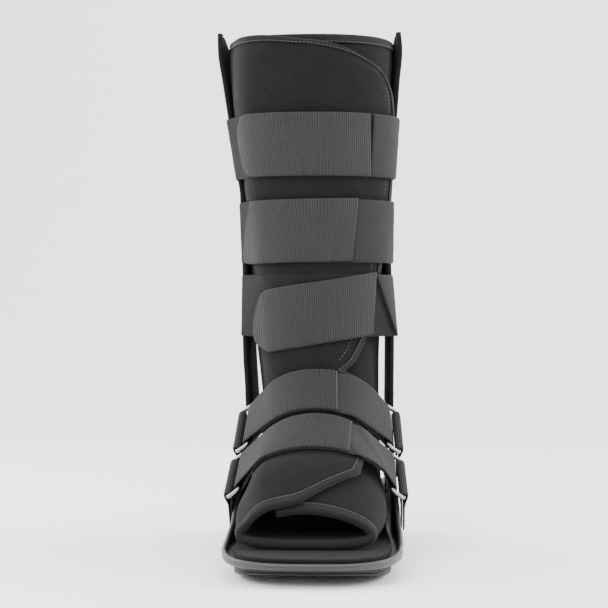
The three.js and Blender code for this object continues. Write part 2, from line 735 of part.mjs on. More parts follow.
function steps(from, to) {
  const list = [from];
  const sign = Math.sign(to - from);
  let k = sign > 0 ? Math.floor(from / PATH_STEP) + 1 : Math.ceil(from / PATH_STEP) - 1;
  while (sign * (to - k * PATH_STEP) > 0.5) {
    if (Math.abs(k * PATH_STEP - list[list.length - 1]) > 0.5) list.push(k * PATH_STEP);
    k += sign;
  }
  list.push(to);
  return list;
}

const LAYER = CALF_STRAP_THICKNESS + LAYER_GAP;

// One turn and a bit: from under the front, over the left sleeve, round the back and the
// right sleeve, to the seam on the right front, where it lies one layer further out.
function calfLoop(strap) {
  const { band, low, high, seam } = strap;
  const inner = 232;
  const spiral = (d) => LAYER * THREE.MathUtils.smoothstep(-d, 80, 118);
  const rings = steps(inner, seam - 360).map((d) => {
    const at = (z, t) => onFacet(band, d, z, (s) => spiral(s) + t);
    return [at(low, 0), at(high, 0), at(high, CALF_STRAP_THICKNESS), at(low, CALF_STRAP_THICKNESS)];
  });
  return loft(rings);
}

function hookTab(strap) {
  const { row, band, low, seam } = strap;
  const width = CALF_STRAP_WIDTH;
  const end = directionAt(band, (row.tabEnd * CALF_WIDTH) / 2, low + width / 2);
  const start = seam - 0.6;
  const all = steps(start, end);
  const middle = all.map((d) => onFacet(band, d, low + width / 2, () => LAYER));
  const length = [0];
  middle.slice(1).forEach((p, k) => length.push(length[k] + p.distanceTo(middle[k])));
  const total = length[length.length - 1];
  const round = TAB_ROUNDING * row.rounding;
  const places = [...length.filter((s) => s < total - round - 2),
    ...[1, 0.6, 0.28, 0.08, 0].map((share) => total - share * round)];
  const rings = places.map((s) => {
    let k = 0;
    while (k < length.length - 2 && s > length[k + 1]) k += 1;
    const u = (s - length[k]) / (length[k + 1] - length[k]);
    const d = THREE.MathUtils.lerp(all[k], all[k + 1], u);
    const share = s / total;
    const into = Math.max(0, round - (total - s));
    const cut = round - Math.sqrt(Math.max(0, round * round - into * into));
    const base = low + width * (row.tabUp - row.drop * share);
    const at = (z, t) => onFacet(band, d, z, () => LAYER + t);
    const bottom = base + cut;
    const top = base + width - cut;
    return [at(bottom, 0), at(top, 0),
      at(top, CALF_STRAP_THICKNESS), at(bottom, CALF_STRAP_THICKNESS)];
  });
  return loft(rings);
}

function calfStraps() {
  return CALF_STRAPS.map((row) => {
    const shaft = LINER_HEIGHT - ANKLE_HEIGHT;
    const centre = ANKLE_HEIGHT + row.up * shaft;
    const low = centre - CALF_STRAP_WIDTH / 2;
    const high = low + CALF_STRAP_WIDTH;
    const band = calfBand(low, high);
    const seam = directionAt(band, (row.seam * CALF_WIDTH) / 2, centre);
    return { row, band, low, high, seam };
  });
}

// Instep straps work in a tilted frame: x across, q up off the foot, w along the width.
function instepFrame(row) {
  const slope = radians(row.slope);
  const w = V(0, -Math.cos(slope), -Math.sin(slope));
  const q = V(0, -Math.sin(slope), Math.cos(slope));
  const rise = ANKLE_HEIGHT - LINER_BASE;
  const origin = V(0, -row.reach * FOOT_REACH, LINER_BASE + (row.up * rise));
  const place = (x, height, along) =>
    origin.clone().add(V(x, 0, 0)).addScaledVector(q, height).addScaledVector(w, along);
  return { w, q, origin, place };
}

// The liner's outline where the plane at a distance along w cuts the foot's upper half.
function instepOutline(frame, along) {
  const points = [];
  for (let girth = 80; girth <= 280; girth += 5) {
    const layer = girth > 235 ? girth - 360 : girth;
    const reach = (station) => linerPoint(layer, station, 0).sub(frame.origin).dot(frame.w) - along;
    let low = 4;
    let high = 13;
    for (let k = 0; k < 20; k += 1) {
      const middle = (low + high) / 2;
      if (reach(middle) < 0) low = middle;
      else high = middle;
    }
    const p = linerPoint(layer, low, 0).sub(frame.origin);
    points.push({ x: p.x, y: p.dot(frame.q) });
  }
  return points;
}

const WIRE = RING_WIRE / 2;
const BAR_HOLD = WIRE + GAP;
const INSTEP_LAYER = INSTEP_STRAP_THICKNESS + GAP;
const RING_LEAN = 43;

// Middle of a ring's bar in the strap's frame: the inner bar holds the strap, the outer one
// the tab. Both lean out towards the toe.
function ringBar(row, side, along, outer = false) {
  const apart = outer ? RING_OPENING + RING_WIRE : 0;
  const x = (row.ringIn * FOOT_WIDTH) / 2 + 0.07 * along + apart * Math.cos(radians(RING_LEAN));
  const y = -row.ringDown * (ANKLE_HEIGHT - LINER_BASE) - apart * Math.sin(radians(RING_LEAN));
  return new THREE.Vector2(side * x, y);
}

const across = (angle) => new THREE.Vector2(-Math.sin(angle), Math.cos(angle));

// Where the taut line leaves the liner for the bar: the angle at which both are as far out.
function leaveAngle(outline, offset, bar, hold, side) {
  const lead = (degrees) => {
    const angle = radians(-side * degrees);
    return support(outline, angle).reach + offset - (bar.dot(across(angle)) + hold);
  };
  let low = 0;
  let high = 100;
  for (let k = 0; k < 30; k += 1) {
    const middle = (low + high) / 2;
    if (lead(middle) > 0) low = middle;
    else high = middle;
  }
  return radians(-side * low);
}

// Stations of one run of a strap along one edge: its near face and its direction.
function strapRun(outline, offset, angles) {
  return angles.map((angle) => {
    const n = across(angle);
    const found = support(outline, angle).point;
    return { near: found.clone().addScaledVector(n, offset), n };
  });
}

// Points round a bar from one side of the strap to the other, outermost in the middle.
function strapFold(bar, angle, side, t) {
  const n = across(angle);
  const ahead = new THREE.Vector2(side * Math.abs(n.y), -Math.abs(n.x));
  return [0, 36, 72, 108, 144, 180].map((degrees) => {
    const turn = radians(degrees);
    const e = n.clone().multiplyScalar(-Math.cos(turn)).addScaledVector(ahead, Math.sin(turn));
    return {
      inside: bar.clone().addScaledVector(e, BAR_HOLD),
      outside: bar.clone().addScaledVector(e, BAR_HOLD + t),
    };
  });
}

// Where one edge of an instep strap starts and leaves the liner, as angles off straight up.
function instepEnds(row, outline, along, clearance) {
  const thick = INSTEP_STRAP_THICKNESS;
  const left = ringBar(row, -1, along);
  const right = ringBar(row, 1, along);
  const upper = clearance + INSTEP_LAYER;
  const angleAt = (share, toward) => {
    let best = toward;
    for (let k = 0; k <= 200; k += 1) {
      const angle = THREE.MathUtils.lerp(toward, 0, k / 200);
      if (support(outline, angle).point.x >= (share * FOOT_WIDTH) / 2) best = angle;
    }
    return best;
  };
  const rightUnder = leaveAngle(outline, clearance, right, -BAR_HOLD - thick, 1);
  const rightOver = leaveAngle(outline, upper, right, BAR_HOLD, 1);
  return {
    left,
    right,
    rightUnder,
    rightOver,
    leftUnder: leaveAngle(outline, clearance, left, -BAR_HOLD - thick, -1),
    leftOver: leaveAngle(outline, upper, left, BAR_HOLD, -1),
    sewn: angleAt(row.lowEnd, rightUnder),
    last: angleAt(row.topEnd, rightOver),
  };
}

// Two angles and the whole steps between them, the same on all layers, so that the layers'
// facets lie parallel.
function angleSteps(from, to) {
  const step = radians(PATH_STEP);
  const sign = Math.sign(to - from);
  const angles = [from];
  for (let k = Math.ceil((sign * from) / step + 0.15); k * step < sign * to - 0.15 * step; k += 1) {
    angles.push(sign * k * step);
  }
  return [...angles, to];
}

// One edge of an instep strap in parts, each a list of pairs of points on its two faces: sewn
// end under the right bar, round it, over the instep, round the left bar from below, and back.
function instepParts(outline, clearance, at) {
  const t = INSTEP_STRAP_THICKNESS;
  const upper = clearance + INSTEP_LAYER;
  const near = (s) => [s.near.clone(), s.near.clone().addScaledVector(s.n, t)];
  const far = (s) => near(s).reverse();
  const run = (lift, from, to) => strapRun(outline, lift, angleSteps(at[from], at[to]));
  const rightFold = strapFold(at.right, (at.rightUnder + at.rightOver) / 2, 1, t);
  const leftFold = strapFold(at.left, (at.leftUnder + at.leftOver) / 2, -1, t);
  return {
    sewn: run(clearance, "sewn", "rightUnder").map(far),
    rightFold: rightFold.map((f) => [f.inside, f.outside]),
    over: run(upper, "rightOver", "sewn").map(near),
    under: run(clearance, "last", "leftUnder").map(near),
    leftFold: leftFold.map((f) => [f.outside, f.inside]),
    back: run(upper, "leftOver", "last").map(far),
  };
}

// One edge from end to end, with as many points as the other edge: the missing ones go on the
// straight stretches between the liner and the bars.
function instepEdge(parts, other) {
  const { sewn, rightFold, over, under, leftFold, back } = parts;
  const stretch = (before, after, part) => {
    const count = Math.max(0, other[part].length - parts[part].length);
    const a = before[before.length - 1];
    const b = after[0];
    return Array.from({ length: count }, (_, k) =>
      a.map((p, face) => p.clone().lerp(b[face], (k + 1) / (count + 1))));
  };
  return [
    ...sewn, ...stretch(sewn, rightFold, "sewn"),
    ...rightFold, ...stretch(rightFold, over, "over"),
    ...over,
    ...under, ...stretch(under, leftFold, "under"),
    ...leftFold, ...stretch(leftFold, back, "back"),
    ...back,
  ];
}

function instepStrap(row) {
  const frame = instepFrame(row);
  const half = INSTEP_STRAP_WIDTH / 2;
  const outlines = [-half, 0, half].map((along) => instepOutline(frame, along));
  const bulge = [-50, -25, 0, 25, 50].map((degrees) => {
    const [a, middle, b] = outlines.map((outline) => support(outline, radians(degrees)).reach);
    return middle - (a + b) / 2;
  });
  const clearance = STRAP_CLEARANCE + Math.max(0, ...bulge);
  const ends = [-1, 1].map((sign) =>
    instepEnds(row, outlines[sign + 1], sign * half, clearance));
  const middle = (key) => (ends[0][key] + ends[1][key]) / 2;
  const [low, high] = ends.map((at, k) => instepParts(outlines[2 * k], clearance,
    { ...at, sewn: middle("sewn"), last: middle("last") }));
  const first = instepEdge(low, high);
  const second = instepEdge(high, low);
  const at = (p, along) => frame.place(p.x, p.y, along);
  return loft(first.map(([p, q], k) => {
    const [r, s] = second[k];
    return [at(p, -half), at(r, half), at(s, half), at(q, -half)];
  }));
}

// Rectangular ring of round wire with rounded corners.
function ring(row, side) {
  const frame = instepFrame(row);
  const half = INSTEP_STRAP_WIDTH / 2 + GAP + WIRE;
  const corner = RING_WIRE * 0.75;
  const at = (outer, along) => {
    const p = ringBar(row, side, along, outer);
    return frame.place(p.x, p.y, along);
  };
  const corners = [at(false, -half), at(false, half), at(true, half), at(true, -half)];
  const path = corners.flatMap((p, k) => {
    const before = corners[(k + 3) % 4].clone().sub(p).setLength(corner);
    const after = corners[(k + 1) % 4].clone().sub(p).setLength(corner);
    const soft = p.clone().addScaledVector(before, 0.3).addScaledVector(after, 0.3);
    return [p.clone().add(before), soft, p.clone().add(after)];
  });
  const along = corners[1].clone().sub(corners[0]);
  const flat = along.cross(corners[3].clone().sub(corners[0])).normalize();
  const count = path.length;
  const rings = path.map((p, k) => {
    const next = path[(k + 1) % count];
    const ahead = next.clone().sub(path[(k + count - 1) % count]).normalize();
    const out = ahead.clone().cross(flat);
    return Array.from({ length: 6 }, (_, m) => {
      const turn = (m * Math.PI) / 3;
      const round = p.clone().addScaledVector(out, WIRE * Math.cos(turn));
      return round.addScaledVector(flat, WIRE * Math.sin(turn));
    });
  });
  return loft(rings, true);
}

// Outer face of the tray's wall at a place along the sole and a height.
function wallFace(y, z) {
  const rows = SOLE_OUTLINE.map((row) => ({ ...row, y: soleY(row.reach) }));
  const low = FLOOR_BOTTOM + 3.6;
  const top = RIM_HEIGHT + linear(rows, "y", "rise", y) * (WING_HEIGHT - RIM_HEIGHT);
  const share = THREE.MathUtils.clamp((z - low) / Math.max(top - low, 1), 0, 1);
  const lean = share * linear(rows, "y", "lean", y) * WING_LEAN;
  return linear(rows, "y", "width", y) * SOLE_HALF_WIDTH - lean;
}

// Webbing folded round the ring's outer bar, both ends down the wall's outer face.
function tabLines(row) {
  const frame = instepFrame(row);
  const t = TAB_THICKNESS;
  const half = INSTEP_STRAP_WIDTH / 2;
  const bar = ringBar(row, 1, 0, true);
  const end = bar.y - TAB_LENGTH;
  const faceAt = (height, along) => {
    const p = frame.place(0, height, along);
    return wallFace(p.y, p.z);
  };
  const wall = Math.max(...[-half, 0, half].flatMap((along) =>
    [faceAt(end, along), faceAt(end + TAB_LENGTH / 2, along)]));
  const inner = wall + GAP + t / 2;
  return { frame, bar, end, inner, outer: inner + GAP + t, half };
}

function ringTab(row, side) {
  const { frame, bar, end, inner, outer, half } = tabLines(row);
  const t = TAB_THICKNESS;
  const turn = BAR_HOLD + t / 2;
  const bend = bar.y - 0.3 * TAB_LENGTH;
  const arc = [0, 36, 72, 108, 144, 180].map((degrees) => {
    const a = radians(degrees);
    return new THREE.Vector2(bar.x + turn * Math.cos(a), bar.y + turn * Math.sin(a));
  });
  const path = [
    new THREE.Vector2(outer, end),
    new THREE.Vector2(outer, bend),
    ...arc,
    new THREE.Vector2(inner, bend),
    new THREE.Vector2(inner, end + 2),
  ];
  return loft(path.map((p, k) => {
    const before = path[Math.max(0, k - 1)];
    const after = path[Math.min(path.length - 1, k + 1)];
    const ahead = after.clone().sub(before).normalize();
    const n = new THREE.Vector2(ahead.y, -ahead.x).multiplyScalar(t / 2);
    const at = (sign, along) => {
      const lean = 0.07 * along * THREE.MathUtils.smoothstep(p.y, bend, bar.y);
      return frame.place(side * (p.x + sign * n.x + lean), p.y + sign * n.y, along);
    };
    return [at(-1, -half), at(-1, half), at(1, half), at(1, -half)];
  }));
}

// Low domed head standing off a face whose outward direction is along x.
function rivetHead(side, x, y, z) {
  const disc = (radius, rise) => Array.from({ length: 8 }, (_, k) => {
    const a = (k * Math.PI) / 4;
    return V(side * (x + rise), y + radius * Math.cos(a), z + radius * Math.sin(a));
  });
  const radius = RIVET_DIAMETER / 2;
  const middle = disc(0.9 * radius, 0.55 * RIVET_RISE);
  return loft([disc(radius, 0), middle, disc(0.5 * radius, RIVET_RISE)]);
}

function tabRivet(row, side) {
  const { frame, end, outer } = tabLines(row);
  const p = frame.place(0, end + 0.36 * TAB_LENGTH, 0);
  return rivetHead(side, outer + TAB_THICKNESS / 2 + GAP, p.y, p.z);
}

function barRivet(side, up) {
  const z = up * WING_HEIGHT;
  return rivetHead(side, wallFace(0, z - RIVET_DIAMETER / 2) + GAP, 0, z);
}

const group = new THREE.Group();
group.name = "medical_walking_boot";

function addPiece(name, geometry, color, roughness, metalness = 0) {
  const material = new THREE.MeshStandardMaterial({ color, roughness, metalness });
  const mesh = new THREE.Mesh(geometry, material);
  mesh.name = name;
  group.add(mesh);
}

addPiece("outsole", outsole(), 0x26282a, 0.8);
addPiece("sole_shell", soleShell(), 0x2b2d30, 0.45);
addPiece("insole_pad", insolePad(), 0x1f2022, 0.9);
addPiece("liner", linerSheet(), 0x1c1e21, 0.95);
addPiece("liner_binding", linerBinding(), 0x2c2d2f, 0.9);
[["left", -1], ["right", 1]].forEach(([name, side]) => {
  addPiece(`upright_sleeve_${name}`, uprightSleeve(side), 0x222326, 0.9);
  addPiece(`upright_bar_${name}`, uprightBar(side), 0xb8bcc0, 0.35, 1);
});
INSTEP_STRAPS.forEach((row) => {
  addPiece(`instep_strap_${row.name}`, instepStrap(row), 0x38393c, 0.88);
  [["left", -1], ["right", 1]].forEach(([name, side]) => {
    addPiece(`ring_${row.name}_${name}`, ring(row, side), 0xd4d7da, 0.22, 1);
    addPiece(`ring_tab_${row.name}_${name}`, ringTab(row, side), 0x2f3033, 0.88);
    addPiece(`tab_rivet_${row.name}_${name}`, tabRivet(row, side), 0xa9adb1, 0.35, 1);
  });
});
[["left", -1], ["right", 1]].forEach(([name, side]) => {
  addPiece(`bar_rivet_high_${name}`, barRivet(side, 0.88), 0xa9adb1, 0.35, 1);
  addPiece(`bar_rivet_low_${name}`, barRivet(side, 0.6), 0xa9adb1, 0.35, 1);
});
calfStraps().forEach((strap) => {
  addPiece(`calf_strap_${strap.row.name}`, calfLoop(strap), 0x1e1f21, 0.95);
  addPiece(`hook_tab_${strap.row.name}`, hookTab(strap), 0x3a3c3f, 0.85);
});

export default group;
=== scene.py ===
"""Medical walking boot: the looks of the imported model, as a Blender add-on."""
import math

import bpy
import numpy as np
from bpy.props import FloatProperty, FloatVectorProperty, PointerProperty
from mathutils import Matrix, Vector, noise


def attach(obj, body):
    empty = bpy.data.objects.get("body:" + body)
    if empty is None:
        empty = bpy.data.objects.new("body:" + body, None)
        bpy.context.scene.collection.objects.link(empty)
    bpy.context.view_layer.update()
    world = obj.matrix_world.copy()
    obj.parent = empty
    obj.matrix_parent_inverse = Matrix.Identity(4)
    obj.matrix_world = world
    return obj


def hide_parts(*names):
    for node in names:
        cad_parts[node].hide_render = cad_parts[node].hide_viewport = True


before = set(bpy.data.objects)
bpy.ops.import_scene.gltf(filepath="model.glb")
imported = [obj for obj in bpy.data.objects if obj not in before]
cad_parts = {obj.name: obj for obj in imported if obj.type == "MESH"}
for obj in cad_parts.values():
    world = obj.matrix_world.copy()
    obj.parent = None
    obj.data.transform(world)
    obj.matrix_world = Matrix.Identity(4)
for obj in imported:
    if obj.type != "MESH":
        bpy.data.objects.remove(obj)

bl_info = {
    "name": "Medical Walking Boot",
    "version": (1, 0, 0),
    "blender": (4, 5, 0),
    "location": "View3D > Sidebar > Boot",
    "description": "Builds a padded medical walking boot over its packed frame",
    "category": "Add Mesh",
}

# Sizes in millimetres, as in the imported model.
LINER_HEIGHT, ANKLE_HEIGHT = 405.0, 151.0
CALF_WIDTH, CALF_DEPTH = 134.0, 150.0
FOOT_WIDTH, FOOT_REACH, HEEL_REACH = 112.0, 163.0, 73.0
SOLE_HALF_WIDTH, SOLE_TOE, SOLE_HEEL = 66.0, 215.0, 86.0
OUTSOLE_HEIGHT, TOE_SPRING = 11.6, 8.0
TREAD_PITCH, TREAD_WIDTH, TREAD_DEPTH = 13.0, 3.0, 1.6
FLOOR_THICKNESS, WALL_THICKNESS = 3.4, 3.2
WING_HEIGHT, RIM_HEIGHT, WING_LEAN = 106.0, 17.0, 3.2
PAD_THICKNESS = 4.0
FOAM, FOAM_EDGE, LAP_CLEARANCE = 6.0, 3.4, 1.8
BAR_WIDTH, BAR_THICKNESS = 25.0, 2.5
SLEEVE_WIDTH, SLEEVE_WALL = 46.0, 1.1
SLEEVE_BOTTOM, SLEEVE_TOP, TOE_IN = 119.0, 415.0, 5.0
CALF_STRAP_WIDTH, CALF_STRAP_THICKNESS = 49.0, 1.8
INSTEP_STRAP_WIDTH, INSTEP_STRAP_THICKNESS = 38.0, 1.5
TAB_ROUNDING, TAB_LENGTH, TAB_THICKNESS = 17.0, 36.0, 1.4
RING_WIRE, RING_OPENING, RING_LEAN = 4.0, 8.0, 43.0
RIVET_DIAMETER, RIVET_RISE = 10.0, 1.8
GAP, STRAP_CLEARANCE, LAYER_GAP = 0.35, 0.9, 1.0

# Details that only the looks have, in millimetres or as shares.
TAPE_THICKNESS, TAPE_CLEARANCE, TAPE_SEAM_INSET, HEM_DROP = 0.95, 0.45, 1.0, 0.86
FLAP_SEAM_INSET, SLEEVE_SEAM_INSET = 12, 5.5
BAND_START, KNIT_FROM = 232, 0.56
TAB_REACH_LIMIT = -0.92
LADDER_FROM, LADDER_TO, LADDER_RUNGS = 1.2, 8.2, 22
STITCH_LIFT = 0.12
BAR_FOOT, BAR_TOP = 0.42, 0.88
BAR_RIVETS = {"high": 0.88, "low": 0.6}
TAB_RIVET_UP = 0.36
RING_SLIMMING = 0.3

# Camera, in metres, degrees and millimetres of lens.
CAMERA_PLACE, CAMERA_TURN, CAMERA_LENS = (0.05667, -1.34888, 0.1967), 3, 97.75

FLOOR_BOTTOM = OUTSOLE_HEIGHT + GAP
FLOOR_TOP = FLOOR_BOTTOM + FLOOR_THICKNESS
PAD_BOTTOM = FLOOR_TOP + GAP
PAD_TOP = PAD_BOTTOM + PAD_THICKNESS
LINER_BASE = PAD_TOP + GAP
SLEEVE_THICKNESS = BAR_THICKNESS + 2 * GAP + 2 * SLEEVE_WALL
WIRE = RING_WIRE / 2
BAR_HOLD = WIRE + GAP
CALF_LAYER = CALF_STRAP_THICKNESS + LAYER_GAP
INSTEP_LAYER = INSTEP_STRAP_THICKNESS + GAP

# Liner sections: leg rows first, then foot rows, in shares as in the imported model.
# front, front height, back, back height, half width, centre, wide, bend, back bend
LEG_ROWS = np.array([
    (-0.44, 1.0, 0.493, 1.012, 0.5, -0.057, 0.5, 2.4, 2.3),
    (-0.433, 0.776, 0.507, 0.78, 0.483, -0.057, 0.5, 2.5, 2.3),
    (-0.413, 0.547, 0.493, 0.547, 0.448, -0.037, 0.5, 2.5, 2.3),
    (-0.387, 0.291, 0.447, 0.291, 0.405, -0.024, 0.5, 2.4, 2.2),
    (-0.367, 0.083, 0.38, 0.067, 0.375, -0.019, 0.5, 2.3, 2.2),
])
FOOT_ROWS = np.array([
    (0.35, 1.0, 0.71, 0.827, 0.429, -0.009, 0.5, 2.2, 2.2),
    (0.38, 0.892, 0.74, 0.577, 0.42, 0, 0.5, 2.2, 2.2),
    (0.442, 0.793, 0.89, 0.323, 0.42, 0, 0.5, 2.2, 2.2),
    (0.509, 0.708, 1.0, 0.155, 0.429, 0, 0.5, 2.2, 2.3),
    (0.571, 0.638, 0.78, 0, 0.433, 0, 0.5, 2.2, 2.4),
    (0.638, 0.577, 0.15, 0, 0.442, 0, 0.46, 2.2, 2.6),
    (0.724, 0.5, -0.276, 0, 0.47, 0, 0.42, 2.1, 2.8),
    (0.847, 0.391, -0.644, 0, 0.496, -0.018, 0.4, 2.0, 3.0),
    (1.0, 0.232, -1.0, 0, 0.451, -0.04, 0.38, 1.7, 3.2),
])
UNDER_EDGE = -207.0
# girth in degrees from the back over the left side, station counted in sections
TOP_EDGE = np.array([
    (-207, 0), (150, 0), (175, 0.055), (187, 0.1), (199, 0.17), (213, 0.29), (226, 0.43),
])
TOE_EDGE = np.array([
    (-207, 13), (140, 13), (165, 12.96), (180, 12.8), (198, 12.35), (215, 11.8),
])
# row, station, girth
OVER_EDGE = np.array([
    (0, 0.43, 226), (0.3, 0.6, 236), (0.7, 0.82, 243), (1, 1.05, 246), (1.5, 1.5, 247),
    (2, 2, 245), (3, 2.95, 235), (4, 3.9, 222), (5, 4.95, 209), (5.55, 5.5, 200),
    (5.85, 5.7, 207), (6.2, 5.95, 217), (6.7, 6.4, 225), (7.4, 7.1, 228), (8, 7.7, 227),
    (9, 8.7, 224), (10, 9.75, 221), (11, 10.65, 218), (12, 11.35, 216), (13, 11.8, 215),
])
# reach, width, rise, lean of the sole's right half from the toe to the heel
SOLE_OUTLINE = np.array([
    (-1.0, 0.15, 0.0, 0), (-0.993, 0.38, 0.0, 0), (-0.968, 0.62, 0.004, 0),
    (-0.92, 0.81, 0.011, 0), (-0.845, 0.93, 0.022, 0), (-0.745, 0.989, 0.034, 0),
    (-0.642, 1.0, 0.056, 0), (-0.549, 1.0, 0.09, 0.1), (-0.474, 0.992, 0.157, 0.3),
    (-0.395, 0.982, 0.303, 0.5), (-0.335, 0.97, 0.4, 0.65), (-0.26, 0.955, 0.56, 0.8),
    (-0.181, 0.944, 0.735, 0.9), (-0.112, 0.936, 0.885, 1), (-0.04, 0.932, 0.98, 1),
    (0.16, 0.929, 1.0, 1), (0.37, 0.927, 0.91, 1), (0.53, 0.924, 0.66, 0.8),
    (0.67, 0.902, 0.44, 0.6), (0.81, 0.818, 0.35, 0.4), (0.915, 0.636, 0.315, 0.3),
    (0.975, 0.36, 0.303, 0.3), (1.0, 0.12, 0.303, 0.3),
])
# up, reach on the left, reach on the right
SLEEVE_PATH = np.array([
    (0.287, 0.453, 0.447), (0.41, 0.472, 0.45), (0.54, 0.468, 0.423), (0.68, 0.486, 0.424),
    (0.76, 0.527, 0.445), (0.833, 0.56, 0.467), (0.905, 0.594, 0.484), (0.965, 0.622, 0.5),
    (1.0, 0.624, 0.492),
])
CALF_STRAPS = {
    "upper": dict(up=0.668, seam=0.6, tab_end=-1.0, tab_up=0.0, drop=0.0, rounding=1.0),
    "middle": dict(up=0.404, seam=0.42, tab_end=-0.86, tab_up=0.02, drop=0.04, rounding=0.45),
    "lower": dict(up=0.175, seam=0.74, tab_end=-0.73, tab_up=0.04, drop=0.33, rounding=1.0),
}
INSTEP_STRAPS = {
    "upper": dict(reach=0.447, up=0.78, slope=45, ring_in=0.955, ring_down=0.221,
                  top_end=0.27, low_end=0.5),
    "lower": dict(reach=0.663, up=0.568, slope=37, ring_in=1.013, ring_down=0.243,
                  top_end=0.45, low_end=0.6),
}
SIDES = {"left": -1, "right": 1}


# Shared measures

def follow(table, column, at):
    """Slope-limited cubic through a table's rows, by its first column."""
    xs, ys = table[:, 0], table[:, column]
    at = np.clip(np.asarray(at, float), xs[0], xs[-1])
    h = np.diff(xs)
    secant = np.diff(ys) / h
    a, b = secant[:-1], secant[1:]
    total = np.where(a + b == 0, 1, a + b)
    inner = np.where(a * b <= 0, 0, 2 * a * b / total)
    slope = np.concatenate([secant[:1], inner, secant[-1:]])
    i = np.clip(np.searchsorted(xs, at, side="left") - 1, 0, len(xs) - 2)
    u = (at - xs[i]) / h[i]
    pull = (1 - u) * h[i] * slope[i] - u * h[i] * slope[i + 1]
    return ys[i] + (ys[i + 1] - ys[i]) * u * u * (3 - 2 * u) + u * (1 - u) * pull


def smoothstep(x, low, high):
    u = np.clip((np.asarray(x, float) - low) / (high - low), 0, 1)
    return u * u * (3 - 2 * u)


def unit(v):
    return v / np.maximum(np.linalg.norm(v, axis=-1, keepdims=True), 1e-9)


def lerp(a, b, t):
    return a + (b - a) * t


def arc(points):
    """Running length along a row of points."""
    steps = np.linalg.norm(np.diff(points, axis=0), axis=-1)
    return np.concatenate([[0], np.cumsum(steps)])


def resample(length, arrays, places):
    """Rows of each array read off at new places along a length."""
    return [np.stack([np.interp(places, length, a[:, c]) for c in range(a.shape[1])], axis=1)
            for a in arrays]


def section_table():
    """Index, front y and z, back y and z, half width, centre, wide and the two bends."""
    shaft = LINER_HEIGHT - ANKLE_HEIGHT
    rise = ANKLE_HEIGHT - LINER_BASE
    rows = []
    for f, fz, b, bz, width, centre, wide, bend, back in LEG_ROWS:
        rows.append((f * CALF_DEPTH, ANKLE_HEIGHT + fz * shaft, b * CALF_DEPTH,
                     ANKLE_HEIGHT + bz * shaft, width * CALF_WIDTH, centre * CALF_WIDTH,
                     wide, bend, back))
    for f, fz, b, bz, width, centre, wide, bend, back in FOOT_ROWS:
        rows.append((-f * FOOT_REACH, LINER_BASE + fz * rise,
                     b * (HEEL_REACH if b > 0 else FOOT_REACH), LINER_BASE + bz * rise,
                     width * FOOT_WIDTH, centre * FOOT_WIDTH, wide, bend, back))
    return np.column_stack([np.arange(len(rows)), np.array(rows)])


SECTIONS = section_table()


# Liner surface

def sleeve_face(side, y, z):
    """x of a sleeve's outer face anywhere along its width."""
    side = np.asarray(side, float)
    left = follow(SLEEVE_PATH, 1, z / SLEEVE_TOP)
    right = follow(SLEEVE_PATH, 2, z / SLEEVE_TOP)
    reach = np.where(side < 0, left, right) * CALF_WIDTH
    return side * (reach - math.tan(math.radians(TOE_IN)) * (y + SLEEVE_WIDTH / 2))


def pressed(p):
    """Where the uprights press on the calf the liner gives way sideways."""
    x, y, z = p[..., 0], p[..., 1], p[..., 2]
    side = np.where(x < 0, -1.0, 1.0)
    half = SLEEVE_WIDTH / 2
    face = sleeve_face(side, np.clip(y, -half, half), z)
    limit = np.abs(face) - SLEEVE_THICKNESS - 4 * GAP
    away = np.maximum(0, np.abs(y) - half) / half
    excess = np.maximum(0, np.abs(x) - limit) * np.maximum(0, 1 - away * away)
    excess = np.where(z < ANKLE_HEIGHT, 0, excess)
    return np.stack([x - side * excess, y, z], axis=-1)


def skin(girth, station):
    """The liner's outer skin, without the step of the lap."""
    girth, station = np.broadcast_arrays(np.asarray(girth, float), np.asarray(station, float))
    at = [follow(SECTIONS, k, station) for k in range(1, 10)]
    front_y, front_z, back_y, back_z, half, centre, wide, bend, back_bend = at
    c, s = np.cos(np.radians(girth)), np.sin(np.radians(girth))
    power = 2 / np.where(c > 0, back_bend, bend)
    along = np.where(c > 0, wide * (1 - np.abs(c) ** power),
                     wide + (1 - wide) * np.abs(c) ** power)
    across = -np.sign(s) * np.abs(s) ** power
    return pressed(np.stack([centre + across * half, lerp(back_y, front_y, along),
                             lerp(back_z, front_z, along)], axis=-1))


def skin_normal(girth, station):
    a = skin(girth + 2, station) - skin(girth - 2, station)
    high = np.minimum(station + 0.15, len(SECTIONS) - 1)
    b = skin(girth, high) - skin(girth, np.maximum(station - 0.15, 0))
    return unit(np.cross(b, a))


def liner_point(girth, station, depth):
    """A place in the foam, so deep under its outer face; the over flap rides on the other."""
    lap = (FOAM + LAP_CLEARANCE) * smoothstep(girth, 112, 147)
    return skin(girth, station) + skin_normal(girth, station) * (lap - depth)[..., None]


def over_edge(row):
    return follow(OVER_EDGE, 2, row)


def sheet_place(across, row):
    """Girth and station of a place on the sheet: a patch between its four edges."""
    across, row = np.broadcast_arrays(np.asarray(across, float), np.asarray(row, float))
    down = row / 13
    top_girth = lerp(UNDER_EDGE, OVER_EDGE[0, 2], across)
    toe_girth = lerp(UNDER_EDGE, OVER_EDGE[-1, 2], across)
    edges = (
        (top_girth, toe_girth, UNDER_EDGE, over_edge(row),
         (UNDER_EDGE, OVER_EDGE[0, 2], UNDER_EDGE, OVER_EDGE[-1, 2])),
        (follow(TOP_EDGE, 1, top_girth), follow(TOE_EDGE, 1, toe_girth), row,
         follow(OVER_EDGE, 1, row),
         (0, OVER_EDGE[0, 1], 13, OVER_EDGE[-1, 1])),
    )
    out = []
    for top, toe, under, over, corner in edges:
        ruled = (1 - down) * top + down * toe + (1 - across) * under + across * over
        twice = ((1 - down) * ((1 - across) * corner[0] + across * corner[1])
                 + down * ((1 - across) * corner[2] + across * corner[3]))
        out.append(ruled - twice)
    return out


